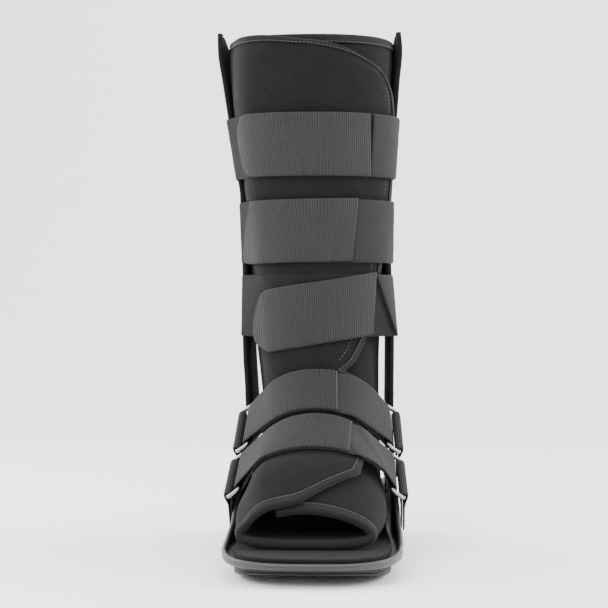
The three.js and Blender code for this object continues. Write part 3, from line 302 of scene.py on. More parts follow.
def sheet_at(across, row, depth):
    girth, station = sheet_place(across, row)
    return liner_point(girth, station, np.broadcast_to(depth, girth.shape))


def sheet_width(row):
    """The sheet's width from edge to edge at each row."""
    table_rows = np.linspace(0, 13, 40)
    grid = sheet_at(np.linspace(0, 1, 120)[:, None], table_rows[None, :], FOAM / 2)
    steps = np.linalg.norm(np.diff(grid, axis=0), axis=-1).sum(axis=0)
    return np.interp(row, table_rows, steps)


def row_length(across, row):
    """Millimetres to one row at a place."""
    low, high = np.clip(row - 0.1, 0, 13), np.clip(row + 0.1, 0, 13)
    step = sheet_at(across, high, FOAM / 2) - sheet_at(across, low, FOAM / 2)
    return np.linalg.norm(step, axis=-1) / (high - low)


# Straps round the calf

def support(points, angle):
    """The farthest of some points in each direction, its distance and the directions."""
    n = np.stack([-np.sin(angle), np.cos(angle)], axis=-1)
    reach = n @ points.T
    best = reach.argmax(axis=-1)
    return points[best], reach.max(axis=-1), n


def calf_outline(z):
    """The liner and the sleeves at one height, seen from above."""
    girth = np.arange(-180.0, 251.0, 3.0)
    low, high = np.zeros_like(girth), np.full_like(girth, 7.0)
    for _ in range(18):
        middle = (low + high) / 2
        above = liner_point(girth, middle, np.zeros_like(girth))[:, 2] > z
        low, high = np.where(above, middle, low), np.where(above, high, middle)
    points = liner_point(girth, low, np.zeros_like(girth))[:, :2]
    points = points[(girth < 146) | (girth <= over_edge(low) + 4)]
    half, soft = SLEEVE_WIDTH / 2, 0.35 * 2
    faces = []
    for side in (-1, 1):
        for y, inward in ((-half, soft), (2 - half, 0), (half - 2, 0), (half, soft)):
            faces.append((float(sleeve_face(side, y, z)) - side * inward, y))
    return np.vstack([points, faces])


def calf_band(strap):
    """A strap's level, its low edge and what it passes over at three heights."""
    centre = ANKLE_HEIGHT + strap["up"] * (LINER_HEIGHT - ANKLE_HEIGHT)
    low = centre - CALF_STRAP_WIDTH / 2
    heights = (low, centre, low + CALF_STRAP_WIDTH)
    return low, [calf_outline(z) for z in heights]


def band_edges(outlines, direction, offset):
    """The band's low and high edge, by direction in degrees (0 back, 90 left)."""
    angle = np.radians(direction)
    (a, ra, n), (_, rm, _), (b, rb, _) = [support(p, angle) for p in outlines]
    lift = np.maximum(0, rm - (ra + rb) / 2) + STRAP_CLEARANCE + offset
    return a + n * lift[:, None], b + n * lift[:, None]


def direction_at(outlines, x):
    """Direction at which the band's front crosses an x."""
    direction = np.arange(100.0, 260.0, 0.5)
    a, b = band_edges(outlines, direction, np.zeros_like(direction))
    return float(np.interp(x, (a[:, 0] + b[:, 0]) / 2, direction))


def soften(points, width):
    """A moving average along a path that leaves its two ends alone."""
    kernel = np.hanning(2 * width + 3)[1:-1]
    kernel /= kernel.sum()
    padded = np.vstack([np.repeat(points[:1], width, 0), points, np.repeat(points[-1:], width, 0)])
    out = np.stack([np.convolve(padded[:, c], kernel, "valid") for c in range(points.shape[1])], 1)
    out[0], out[-1] = points[0], points[-1]
    return out


def calf_path(outlines, start, end, offset, step=2.0):
    """A strap's run: lengths, low edge, high edge and outward directions."""
    direction = np.arange(start, end, -0.5)
    a, b = band_edges(outlines, direction, offset(direction))
    length = arc((a + b) / 2)
    places = np.linspace(0, length[-1], max(8, int(length[-1] / step)))
    a, b = [soften(edge, 2) for edge in resample(length, (a, b), places)]
    ahead = unit(np.gradient((a + b) / 2, axis=0))
    return places, a, b, np.stack([ahead[:, 1], -ahead[:, 0]], axis=1)


def ribbon_rings(near, normal, thickness, round_edges=True):
    """Closed sections of a strap from its near face, a grid of places along and across."""
    count = near.shape[1]
    across = np.linspace(-1, 1, count)
    thin = 0.62 * smoothstep(np.abs(across), 0.9, 1.0) if round_edges else np.zeros(count)
    middle = near + normal * thickness / 2
    half = normal * (thickness / 2) * (1 - thin)[None, :, None]
    return np.concatenate([middle + half, (middle - half)[:, ::-1]], axis=1)


def strap_across(count=15):
    """Shares across a strap from -1 to 1, closer together at the edges."""
    even = np.linspace(-1, 1, count)
    return np.sin(even * math.pi / 2) * 0.55 + even * 0.45


# Instep straps, in a frame tilted with the foot: x across, q off the foot, w along it

def instep_frame(strap):
    slope = math.radians(strap["slope"])
    w = np.array([0, -math.cos(slope), -math.sin(slope)])
    q = np.array([0, -math.sin(slope), math.cos(slope)])
    rise = ANKLE_HEIGHT - LINER_BASE
    origin = np.array([0, -strap["reach"] * FOOT_REACH, LINER_BASE + strap["up"] * rise])
    return origin, q, w


def place_in(tilt, x, height, along):
    origin, q, w = tilt
    x, height, along = np.broadcast_arrays(*[np.asarray(v, float) for v in (x, height, along)])
    out = origin + height[..., None] * q + along[..., None] * w
    out[..., 0] += x
    return out


def instep_outline(tilt, along):
    """The liner's outline where a plane along the foot cuts its upper half."""
    origin, q, w = tilt
    girth = np.arange(80.0, 281.0, 2.5)
    girth = np.where(girth > 235, girth - 360, girth)
    low, high = np.full_like(girth, 4.0), np.full_like(girth, 13.0)
    for _ in range(20):
        middle = (low + high) / 2
        reach = (liner_point(girth, middle, np.zeros_like(girth)) - origin) @ w - along
        low, high = np.where(reach < 0, middle, low), np.where(reach < 0, high, middle)
    p = liner_point(girth, low, np.zeros_like(girth)) - origin
    return np.stack([p[:, 0], p @ q], axis=1)


def ring_bar(strap, side, along, outer=False):
    """Middle of a ring's bar: the inner one holds the strap, the outer one the tab."""
    apart = RING_OPENING + RING_WIRE if outer else 0
    lean = math.radians(RING_LEAN)
    x = strap["ring_in"] * FOOT_WIDTH / 2 + 0.07 * along + apart * math.cos(lean)
    y = -strap["ring_down"] * (ANKLE_HEIGHT - LINER_BASE) - apart * math.sin(lean)
    return np.array([side * x, y])


def reach_at(points, angle):
    n = np.array([-math.sin(angle), math.cos(angle)])
    reach = points @ n
    return points[reach.argmax()], reach.max(), n


def leave_angle(outline, offset, bar, hold, side):
    """Where the taut line leaves the liner for the bar."""
    low, high = 0.0, 100.0
    for _ in range(30):
        middle = (low + high) / 2
        _, reach, n = reach_at(outline, math.radians(-side * middle))
        if reach + offset > bar @ n + hold:
            low = middle
        else:
            high = middle
    return math.radians(-side * low)


def instep_edge(strap, outline, along, clearance, counts):
    """One edge of an instep strap, as its near and far face, from one sewn end to the other."""
    t, half = INSTEP_STRAP_THICKNESS, FOOT_WIDTH / 2
    bars = {side: ring_bar(strap, side, along) for side in (-1, 1)}
    upper = clearance + INSTEP_LAYER
    under = {s: leave_angle(outline, clearance, bars[s], -BAR_HOLD - t, s) for s in (-1, 1)}
    over = {s: leave_angle(outline, upper, bars[s], BAR_HOLD, s) for s in (-1, 1)}

    def angle_at(x, toward):
        best = toward
        for k in range(201):
            angle = toward * (1 - k / 200)
            if abs(reach_at(outline, angle)[0][0]) >= x:
                best = angle
        return best

    def run(offset, start, end, count, flip):
        out = []
        for angle in np.linspace(start, end, count):
            point, _, n = reach_at(outline, angle)
            lift = offset(point[0]) if callable(offset) else offset
            pair = [point + n * lift, point + n * (lift + t)]
            out.append(pair[::-1] if flip else pair)
        return out

    def fold(side, swap):
        n = np.array([-math.sin((under[side] + over[side]) / 2),
                      math.cos((under[side] + over[side]) / 2)])
        ahead = np.array([side * abs(n[1]), -abs(n[0])])
        out = []
        for turn in np.linspace(0, math.pi, counts[3]):
            e = -n * math.cos(turn) + ahead * math.sin(turn)
            pair = [bars[side] + e * BAR_HOLD, bars[side] + e * (BAR_HOLD + t)]
            out.append(pair[::-1] if swap else pair)
        return out

    def step(x):
        return clearance + INSTEP_LAYER * float(
            smoothstep(x / half, strap["top_end"] + 0.03, strap["low_end"] - 0.03))

    sewn_from = angle_at(strap["low_end"] * half, under[1])
    back_to = angle_at(strap["top_end"] * half, over[1])
    pairs = [
        *run(clearance, sewn_from, under[1], counts[0], True), *fold(1, False),
        *run(step, over[1], under[-1], counts[1], False), *fold(-1, True),
        *run(upper, over[-1], back_to, counts[2], True),
    ]
    return np.array(pairs)


def instep_path(strap):
    """The near and far faces of both edges of an instep strap, in its tilted frame."""
    tilt = instep_frame(strap)
    half = INSTEP_STRAP_WIDTH / 2
    outlines = [instep_outline(tilt, along) for along in (-half, 0, half)]
    bulge = [0.0]
    for degrees in (-50, -25, 0, 25, 50):
        a, middle, b = [reach_at(p, math.radians(degrees))[1] for p in outlines]
        bulge.append(middle - (a + b) / 2)
    clearance = STRAP_CLEARANCE + max(bulge)
    counts = (8, 60, 44, 13)
    low = instep_edge(strap, outlines[0], -half, clearance, counts)
    high = instep_edge(strap, outlines[2], half, clearance, counts)
    return tilt, low, high


# Sole tray

def sole_places(extra=()):
    """The outline's places from toe to heel, with any extra y on them."""
    index = np.arange(len(SOLE_OUTLINE), dtype=float)
    table = np.column_stack([index, SOLE_OUTLINE])
    fine = np.linspace(0, index[-1], 150)
    reach = follow(table, 1, fine)
    y = np.where(reach < 0, reach * SOLE_TOE, reach * SOLE_HEEL)
    if len(extra):
        fine = np.sort(np.concatenate([fine, np.interp(extra, y, fine)]))
        reach = follow(table, 1, fine)
        y = np.where(reach < 0, reach * SOLE_TOE, reach * SOLE_HEEL)
    x = follow(table, 2, fine) * SOLE_HALF_WIDTH
    rise = np.maximum(follow(table, 3, fine), 0)
    lean = np.clip(follow(table, 4, fine), 0, 1)
    tangent = unit(np.stack([np.gradient(x), np.gradient(y)], axis=1))
    return x, y, rise, lean, tangent


def sole_ring(places, inset, height):
    """The sole's outline pulled in and set at a height, right half then left half back."""
    x, y, _, _, tangent = places
    px = np.maximum(x - tangent[:, 1] * inset, 0.8)
    py = y + tangent[:, 0] * inset
    z = np.broadcast_to(height, x.shape)
    half = np.stack([px, py, z], axis=1)
    return np.vstack([half, (half * [-1, 1, 1])[::-1]])


def wall_face(y, z):
    """Outer face of the tray's wall at a place along the sole and a height."""
    places = np.where(SOLE_OUTLINE[:, 0] < 0, SOLE_OUTLINE[:, 0] * SOLE_TOE,
                      SOLE_OUTLINE[:, 0] * SOLE_HEEL)
    low = FLOOR_BOTTOM + 3.6
    top = RIM_HEIGHT + np.interp(y, places, SOLE_OUTLINE[:, 2]) * (WING_HEIGHT - RIM_HEIGHT)
    share = np.clip((z - low) / np.maximum(top - low, 1), 0, 1)
    lean = share * np.interp(y, places, SOLE_OUTLINE[:, 3]) * WING_LEAN
    return np.interp(y, places, SOLE_OUTLINE[:, 1]) * SOLE_HALF_WIDTH - lean


def rocker(y):
    """The outsole's lift off the ground towards its two ends."""
    toe, heel = -0.5 * SOLE_TOE, 0.6 * SOLE_HEEL
    ahead = np.maximum(0, (toe - y) / (SOLE_TOE + toe)) ** 1.6
    behind = np.maximum(0, (y - heel) / (SOLE_HEEL - heel)) ** 1.6
    return TOE_SPRING * ahead + 0.3 * TOE_SPRING * behind


def tab_lines(strap):
    """Where a ring tab lies on the tray's wall."""
    tilt, t, half = instep_frame(strap), TAB_THICKNESS, INSTEP_STRAP_WIDTH / 2
    bar = ring_bar(strap, 1, 0, True)
    end = bar[1] - TAB_LENGTH
    places = [place_in(tilt, 0, height, along) for along in (-half, 0, half)
              for height in (end, end + TAB_LENGTH / 2)]
    inner = max(float(wall_face(p[1], p[2])) for p in places) + GAP + t / 2
    return tilt, bar, end, inner, inner + GAP + t, half


# Meshes

def finish_piece(obj, material, nodes=()):
    """Gives a piece its material and its body, and hides the imported nodes it stands for."""
    obj.data.materials.clear()
    obj.data.materials.append(material)
    for polygon in obj.data.polygons:
        polygon.use_smooth = True
    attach(obj, "root")
    if nodes:
        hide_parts(*nodes)
    return obj


def new_object(name, points, faces):
    mesh = bpy.data.meshes.new(name)
    mesh.from_pydata((np.asarray(points) * 0.001).tolist(), [], faces)
    mesh.update()
    obj = bpy.data.objects.new(name, mesh)
    bpy.context.scene.collection.objects.link(obj)
    return obj


def outward(points, faces):
    """Turns all faces round if the solid came out inside out."""
    quads = np.array([f if len(f) == 4 else (*f, f[2]) for f in faces])
    a, b, c, d = [points[quads[:, k]] for k in range(4)]
    volume = (np.einsum("ij,ij->i", a, np.cross(b, c)).sum()
              + np.einsum("ij,ij->i", a, np.cross(c, d)).sum())
    return [f[::-1] for f in faces] if volume < 0 else faces


def loft(name, rings, closed=False, along=None, across=None):
    """A solid over rings of equal length, with a weave map in metres where lengths are given."""
    count, size = rings.shape[:2]
    k = np.arange(count if closed else count - 1)
    m = np.arange(size)
    kk, mm = [g.ravel() for g in np.meshgrid(k, m, indexing="ij")]
    nk, nm = (kk + 1) % count, (mm + 1) % size
    faces = np.stack([kk * size + mm, kk * size + nm, nk * size + nm, nk * size + mm], 1).tolist()
    uv = None
    if along is not None:
        along = np.append(along, along[-1])
        uv = np.stack([np.stack([along[kk + i], across[(mm + j) % size]], 1)
                       for i, j in ((0, 0), (0, 1), (1, 1), (1, 0))], 1).reshape(-1, 2).tolist()
    if not closed:
        end = (count - 1) * size
        for i in range(size // 2 - 1):
            faces.append([size - 1 - i, size - 2 - i, i + 1, i])
            faces.append([end + i, end + i + 1, end + size - 2 - i, end + size - 1 - i])
            if uv is not None:
                for base, row in ((0, (size - 1 - i, size - 2 - i, i + 1, i)),
                                  (-1, (i, i + 1, size - 2 - i, size - 1 - i))):
                    uv.extend([along[base], across[j]] for j in row)
    points = rings.reshape(-1, 3)
    turned = outward(points, faces)
    if uv is not None and turned is not faces:
        uv = np.array(uv).reshape(-1, 4, 2)[:, ::-1].reshape(-1, 2)
    obj = new_object(name, points, turned)
    if uv is not None:
        layer = obj.data.uv_layers.new(name="weave")
        layer.data.foreach_set("uv", (np.asarray(uv) * 0.001).ravel())
    return obj


def ribbon(name, near, normal, thickness, along, width):
    """A strap from the grid of its near face."""
    rings = ribbon_rings(near, normal, thickness)
    half = np.linspace(0, 1, near.shape[1]) * width
    return loft(name, rings, False, along, np.concatenate([half, half[::-1]]))


# Materials

def shader(name, roughness, metallic=0.0, sheen=0.0):
    """A material with its main shader, and a short way to add nodes to it."""
    material = bpy.data.materials.new(name)
    material.use_nodes = True
    tree = material.node_tree
    bsdf = next(n for n in tree.nodes if n.type == "BSDF_PRINCIPLED")
    bsdf.inputs["Roughness"].default_value = roughness
    bsdf.inputs["Metallic"].default_value = metallic
    bsdf.inputs["Sheen Weight"].default_value = sheen
    bsdf.inputs["Sheen Roughness"].default_value = 0.45

    def add(kind, links=(), **values):
        node = tree.nodes.new(kind)
        for key, value in values.items():
            setattr(node, key, value)
        for socket, source in links:
            if hasattr(source, "links"):
                tree.links.new(source, node.inputs[socket])
            else:
                node.inputs[socket].default_value = source
        return node

    return material, tree, bsdf, add


def shade(colour, factor):
    return tuple(min(1.0, c * factor) for c in colour[:3]) + (1.0,)


def mottle(add, place, scale, colour, dark, light, detail=4.0):
    """The colour with soft darker and lighter patches."""
    cloud = add("ShaderNodeTexNoise", [("Vector", place), ("Scale", scale), ("Detail", detail)])
    mix = add("ShaderNodeMix", [(0, cloud.outputs["Fac"])], data_type="RGBA")
    mix.inputs[6].default_value = shade(colour, dark)
    mix.inputs[7].default_value = shade(colour, light)
    return mix.outputs[2]


def join_bump(tree, bsdf, add, heights):
    """Heights in metres, one on top of another."""
    normal = None
    for height, distance in heights:
        links = [("Height", height), ("Distance", distance), ("Strength", 1.0)]
        if normal is not None:
            links.append(("Normal", normal))
        normal = add("ShaderNodeBump", links).outputs["Normal"]
    tree.links.new(normal, bsdf.inputs["Normal"])


def felt(name, colour, nap, sheen, scale=1.0):
    """Brushed cloth: cloudy colour, fine fibres and a soft sheen at the edges."""
    material, tree, bsdf, add = shader(name, 0.92, 0.0, sheen)
    bsdf.inputs["Sheen Tint"].default_value = (0.9, 0.95, 1.0, 1)
    bsdf.inputs["Specular IOR Level"].default_value = 0.1
    place = add("ShaderNodeTexCoord").outputs["Object"]
    cloud = mottle(add, place, 38 * scale, colour, 0.72, 1.32)
    fibre = add("ShaderNodeTexNoise", [("Vector", place), ("Scale", 640 * scale),
                                       ("Detail", 6.0), ("Roughness", 0.8)]).outputs["Fac"]
    speck = add("ShaderNodeMix", [(0, fibre)], data_type="RGBA")
    tree.links.new(cloud, speck.inputs[6])
    speck.inputs[7].default_value = shade(colour, 2.1)
    ramp = add("ShaderNodeMapRange", [("Value", fibre), ("From Min", 0.45), ("From Max", 0.8),
                                      ("To Min", 0.0), ("To Max", 1.0)])
    tree.links.new(ramp.outputs[0], speck.inputs[0])
    tree.links.new(speck.outputs[2], bsdf.inputs["Base Color"])
    lump = add("ShaderNodeTexNoise", [("Vector", place), ("Scale", 210.0 * scale),
                                      ("Detail", 3.0)]).outputs["Fac"]
    join_bump(tree, bsdf, add, [(lump, nap * 0.0003), (fibre, nap * 0.0005)])
    return material


def webbing(name, colour, pitch, cross, depth, sheen=0.04):
    """Woven strap: ribs across its run every pitch and fine threads along it, with painted shade
    that darkens the colour in the grooves between the ribs.
    """
    material, tree, bsdf, add = shader(name, 0.8, 0.0, sheen)
    bsdf.inputs["Specular IOR Level"].default_value = 0.2
    place = add("ShaderNodeTexCoord").outputs["Object"]
    weave = add("ShaderNodeUVMap", uv_map="weave").outputs["UV"]
    split = add("ShaderNodeSeparateXYZ", [("Vector", weave)])

    def wave(axis, length):
        turns = add("ShaderNodeMath", [(0, split.outputs[axis]), (1, 2 * math.pi / length)],
                    operation="MULTIPLY")
        sine = add("ShaderNodeMath", [(0, turns.outputs[0])], operation="SINE")
        return add("ShaderNodeMapRange", [("Value", sine.outputs[0]), ("From Min", -1.0),
                                          ("From Max", 1.0)]).outputs[0]

    rib, thread = wave("X", pitch), wave("Y", cross)
    weft = add("ShaderNodeMath", [(0, rib), (1, thread)], operation="MULTIPLY").outputs[0]
    cloud = mottle(add, place, 60, colour, 0.8, 1.2)
    # Painted shade: where the rib height is low the colour darkens to 0.42 of the strap colour,
    # standing in for shadow in the grooves between ribs.
    mix = add("ShaderNodeMix", [(0, rib)], data_type="RGBA")
    mix.inputs[6].default_value = shade(colour, 0.42)
    tree.links.new(cloud, mix.inputs[7])
    tree.links.new(mix.outputs[2], bsdf.inputs["Base Color"])
    fuzz = add("ShaderNodeTexNoise", [("Vector", place), ("Scale", 1900.0),
                                      ("Detail", 3.0)]).outputs["Fac"]
    join_bump(tree, bsdf, add, [(rib, depth), (weft, depth * 0.5), (fuzz, depth * 0.6)])
    return material


def moulded(name, colour, roughness, grain, wear):
    """Moulded plastic or rubber: fine grain, faint clouds and scuffs."""
    material, tree, bsdf, add = shader(name, roughness)
    place = add("ShaderNodeTexCoord").outputs["Object"]
    cloud = mottle(add, place, 26, colour, 0.85, 1.18)
    scuff = add("ShaderNodeTexNoise", [("Vector", place), ("Scale", 90.0), ("Detail", 8.0),
                                       ("Roughness", 0.75)]).outputs["Fac"]
    worn = add("ShaderNodeMapRange", [("Value", scuff), ("From Min", 0.56), ("From Max", 0.74),
                                      ("To Min", 0.0), ("To Max", wear)]).outputs[0]
    mix = add("ShaderNodeMix", [(0, worn)], data_type="RGBA")
    tree.links.new(cloud, mix.inputs[6])
    mix.inputs[7].default_value = shade(colour, 2.4)
    tree.links.new(mix.outputs[2], bsdf.inputs["Base Color"])
    rough = add("ShaderNodeMapRange", [("Value", scuff), ("To Min", roughness - 0.1),
                                       ("To Max", roughness + 0.14)]).outputs[0]
    tree.links.new(rough, bsdf.inputs["Roughness"])
    fine = add("ShaderNodeTexNoise", [("Vector", place), ("Scale", 2300.0),
                                      ("Detail", 2.0)]).outputs["Fac"]
    join_bump(tree, bsdf, add, [(fine, grain), (scuff, grain * 0.8)])
    return material


def metal(name, colour, roughness, stretch):
    """Metal with a fine grain drawn out along one axis."""
    material, tree, bsdf, add = shader(name, roughness, 1.0)
    place = add("ShaderNodeTexCoord").outputs["Object"]
    drawn = add("ShaderNodeMapping", [("Vector", place)])
    drawn.inputs["Scale"].default_value = stretch
    grain = add("ShaderNodeTexNoise", [("Vector", drawn.outputs[0]), ("Scale", 900.0),
                                       ("Detail", 4.0)]).outputs["Fac"]
    cloud = mottle(add, place, 70, colour, 0.86, 1.08)
    tree.links.new(cloud, bsdf.inputs["Base Color"])
    rough = add("ShaderNodeMapRange", [("Value", grain), ("To Min", roughness - 0.06),
                                       ("To Max", roughness + 0.12)]).outputs[0]
    tree.links.new(rough, bsdf.inputs["Roughness"])
    join_bump(tree, bsdf, add, [(grain, 0.00002)])
    return material


def thread(name, colour):
    """Twisted thread: fine slanted ridges."""
    material, tree, bsdf, add = shader(name, 0.6, 0.0, 0.2)
    place = add("ShaderNodeTexCoord").outputs["Object"]
    tree.links.new(mottle(add, place, 240, colour, 0.75, 1.25), bsdf.inputs["Base Color"])
    twist = add("ShaderNodeTexWave", [("Vector", place), ("Scale", 900.0), ("Distortion", 1.5)])
    twist.bands_direction = "DIAGONAL"
    join_bump(tree, bsdf, add, [(twist.outputs["Fac"], 0.00006)])
    return material


# Stitches, repeated along lines by Geometry Nodes

def stitch_nodes():
    """Instances a short thread along every edge line it is given."""
    tree = bpy.data.node_groups.new("Boot Stitches", "GeometryNodeTree")
    tree.interface.new_socket("Lines", in_out="INPUT", socket_type="NodeSocketGeometry")
    for label, value in (("Spacing", 0.0032), ("Length", 0.0024), ("Width", 0.0007)):
        socket = tree.interface.new_socket(label, in_out="INPUT", socket_type="NodeSocketFloat")
        socket.default_value = value
    tree.interface.new_socket("Thread", in_out="INPUT", socket_type="NodeSocketMaterial")
    tree.interface.new_socket("Stitches", in_out="OUTPUT", socket_type="NodeSocketGeometry")
    new, link = tree.nodes.new, tree.links.new
    start, end = new("NodeGroupInput"), new("NodeGroupOutput")
    curve, resample_curve = new("GeometryNodeMeshToCurve"), new("GeometryNodeResampleCurve")
    resample_curve.mode = "LENGTH"
    link(start.outputs["Lines"], curve.inputs["Mesh"])
    link(curve.outputs["Curve"], resample_curve.inputs["Curve"])
    link(start.outputs["Spacing"], resample_curve.inputs["Length"])
    ball = new("GeometryNodeMeshUVSphere")
    ball.inputs["Segments"].default_value = 6
    ball.inputs["Rings"].default_value = 4
    ball.inputs["Radius"].default_value = 0.5
    size = new("ShaderNodeCombineXYZ")
    link(start.outputs["Width"], size.inputs["X"])
    link(start.outputs["Width"], size.inputs["Y"])
    link(start.outputs["Length"], size.inputs["Z"])
    tangent, turn = new("GeometryNodeInputTangent"), new("FunctionNodeAlignRotationToVector")
    turn.axis = "Z"
    link(tangent.outputs["Tangent"], turn.inputs["Vector"])
    put = new("GeometryNodeInstanceOnPoints")
    link(resample_curve.outputs["Curve"], put.inputs["Points"])
    link(ball.outputs["Mesh"], put.inputs["Instance"])
    link(turn.outputs["Rotation"], put.inputs["Rotation"])
    link(size.outputs["Vector"], put.inputs["Scale"])
    real, paint = new("GeometryNodeRealizeInstances"), new("GeometryNodeSetMaterial")
    link(put.outputs["Instances"], real.inputs["Geometry"])
    link(real.outputs["Geometry"], paint.inputs["Geometry"])
    link(start.outputs["Thread"], paint.inputs["Material"])
    link(paint.outputs["Geometry"], end.inputs["Stitches"])
    return tree


def stitches(name, lines, material, spacing=3.2, length=2.4, width=0.7):
    """Threads along lines of places in millimetres, as one finished piece."""
    points, edges = [], []
    for line in lines:
        first = len(points)
        points.extend(np.asarray(line).tolist())
        edges.extend((first + k, first + k + 1) for k in range(len(line) - 1))
    mesh = bpy.data.meshes.new(name)
    mesh.from_pydata((np.array(points) * 0.001).tolist(), edges, [])
    obj = bpy.data.objects.new(name, mesh)
    bpy.context.scene.collection.objects.link(obj)
    group = bpy.data.node_groups.get("Boot Stitches") or stitch_nodes()
    modifier = obj.modifiers.new("Stitches", "NODES")
    modifier.node_group = group
    values = {"Spacing": spacing * 0.001, "Length": length * 0.001, "Width": width * 0.001,
              "Thread": material}
    for item in group.interface.items_tree:
        if item.name in values and item.in_out == "INPUT":
            modifier[item.identifier] = values[item.name]
    obj.update_tag()
    bpy.context.view_layer.update()
    depsgraph = bpy.context.evaluated_depsgraph_get()
    baked = bpy.data.meshes.new_from_object(obj.evaluated_get(depsgraph))
    obj.modifiers.remove(modifier)
    obj.data = baked
    baked.name = name
    return finish_piece(obj, material)


# Builders

def soft_noise(points, scale, seed):
    """Smooth noise at places in millimetres, from about -1 to 1."""
    flat = points.reshape(-1, 3) * scale + seed
    values = [noise.noise(Vector(p)) for p in flat.tolist()]
    return np.array(values).reshape(points.shape[:-1])


def strap_free(points):
    """1 where the liner's face lies free, 0 under straps, sleeves and in the tray."""
    x, y, z = points[..., 0], points[..., 1], points[..., 2]
    free = np.ones_like(z)
    for strap in CALF_STRAPS.values():
        centre = ANKLE_HEIGHT + strap["up"] * (LINER_HEIGHT - ANKLE_HEIGHT)
        free *= smoothstep(np.abs(z - centre), 25.5, 37)
    for strap in INSTEP_STRAPS.values():
        origin, _, w = instep_frame(strap)
        free *= np.where(z < 150, smoothstep(np.abs((points - origin) @ w), 20.5, 31), 1)
    sleeve = (np.abs(x) > 35) & (z > SLEEVE_BOTTOM - 14)
    free *= np.where(sleeve, smoothstep(np.abs(y), 25, 36), 1)
    return free * np.where(z < 110, smoothstep(z, 58, 76), 1)


def covered(girth, row):
    """1 where the over flap or its step hides the face of the sheet, 0 elsewhere."""
    return 1 - smoothstep(girth, over_edge(row) - 360, over_edge(row) - 348)


def build_liner(s):
    rows = np.concatenate([np.linspace(0, 4, 100)[:-1], np.linspace(4, 13, 108)])
    across = np.linspace(0, 1, 206)
    a, r = np.meshgrid(across, rows, indexing="ij")
    girth, station = sheet_place(a, r)
    middle = liner_point(girth, station, np.full_like(a, FOAM / 2))
    side = np.linalg.norm(np.diff(middle, axis=0), axis=-1)
    side = np.vstack([np.zeros((1, len(rows))), np.cumsum(side, axis=0)])
    down = np.linalg.norm(np.diff(middle, axis=1), axis=-1)
    down = np.hstack([np.zeros((len(across), 1)), np.cumsum(down, axis=1)])
    edge = np.minimum.reduce([side, side[-1:] - side, down, down[:, -1:] - down])
    half = lerp(FOAM_EDGE / 2, FOAM / 2, smoothstep(edge, 1.5, 9))
    open_face = strap_free(middle) * (1 - covered(girth, r)) * smoothstep(edge, 9, 20)
    crease = soft_noise(middle * [1, 1, 1.8], 0.028, 3.1)
    ripple = soft_noise(middle, 0.07, 11.7)
    ankle = np.exp(-((middle[..., 2] - 128) / 34) ** 2)
    lift = open_face * (s.puff * 1000 + crease * s.fold * 1000 * (0.5 + ankle) + ripple * 0.22)
    seam = np.exp(-((side[-1:] - side - FLAP_SEAM_INSET) / 1.0) ** 2)
    seam *= (r > 0.5) & (r < 4.95)
    outer = liner_point(girth, station, FOAM / 2 - half - lift + 0.5 * seam)
    inner = liner_point(girth, station, FOAM / 2 + half)
    rings = np.concatenate([outer, inner[::-1]]).transpose(1, 0, 2)
    liner = loft("liner_foam", rings)
    material = felt("liner felt", s.colour, 1.0, 0.03)
    finish_piece(liner, material, ("liner",))
    return liner


def rim_path():
    """Places round the sheet's rim, as shares across and rows down."""
    rows = np.concatenate([np.linspace(0, 4, 90)[:-1], np.linspace(4, 13, 110)])
    top, toe = np.linspace(0, 1, 210), np.linspace(1, 0, 170)
    across = np.concatenate([top[:-1], np.ones(len(rows) - 1), toe[:-1],
                             np.zeros(len(rows) - 1)])
    down = np.concatenate([np.zeros(209), rows[:-1], np.full(169, 13.0), rows[::-1][:-1]])
    return across, down


def rim_at(across, row, inset, lift):
    """A place by the rim: so far in from it and so far off the face (or the back, below 0)."""
    da = inset / sheet_width(row)
    a = np.clip(across, da, 1 - da)
    r = np.clip(row, inset / row_length(a, np.zeros_like(a)),
                13 - inset / row_length(a, np.full_like(a, 13.0)))
    half = lerp(FOAM_EDGE / 2, FOAM / 2, smoothstep(inset, 1.5, 9))
    return sheet_at(a, r, FOAM / 2 - np.sign(lift) * (half + abs(lift)))


def build_binding(s):
    across, down = rim_path()
    reach, thick, clear = s.width * 1000, TAPE_THICKNESS, TAPE_CLEARANCE
    middle = sheet_at(across, down, FOAM / 2)
    inside = (rim_at(across, down, 3.0, 1e-6) + rim_at(across, down, 3.0, -1e-6)) / 2
    beyond = unit(middle - inside)
    insets = np.array([1.0, 0.85, 0.6, 0.35, 0.12]) * reach

    def channel(lift):
        face, back = [[rim_at(across, down, inset, side * lift * (HEM_DROP if k == 0 else 1))
                       for k, inset in enumerate(insets)] for side in (1, -1)]
        radius = FOAM_EDGE / 2 + lift
        top, low = rim_at(across, down, 0.0, 1e-6), rim_at(across, down, 0.0, -1e-6)
        up = unit(top - low)
        web = [middle + (beyond * math.sin(t) * 0.8 + up * math.cos(t)) * radius
               for t in np.linspace(0, math.pi, 9)]
        return [*face, *web, *back[::-1]]

    rings = np.stack([*channel(clear + thick), *channel(clear)[::-1]], axis=1)
    tape = loft("liner_edge_tape", rings, closed=True)
    finish_piece(tape, felt("edge tape", s.colour, 0.6, 0.05, 1.6),
                 ("liner_binding",))
    line = rim_at(across, down, reach - TAPE_SEAM_INSET, clear + thick + 0.02)
    stitches("liner_tape_stitches", [line], thread("tape thread", (0.036, 0.036, 0.037)),
             3.0, 2.2, 0.55)
    return tape


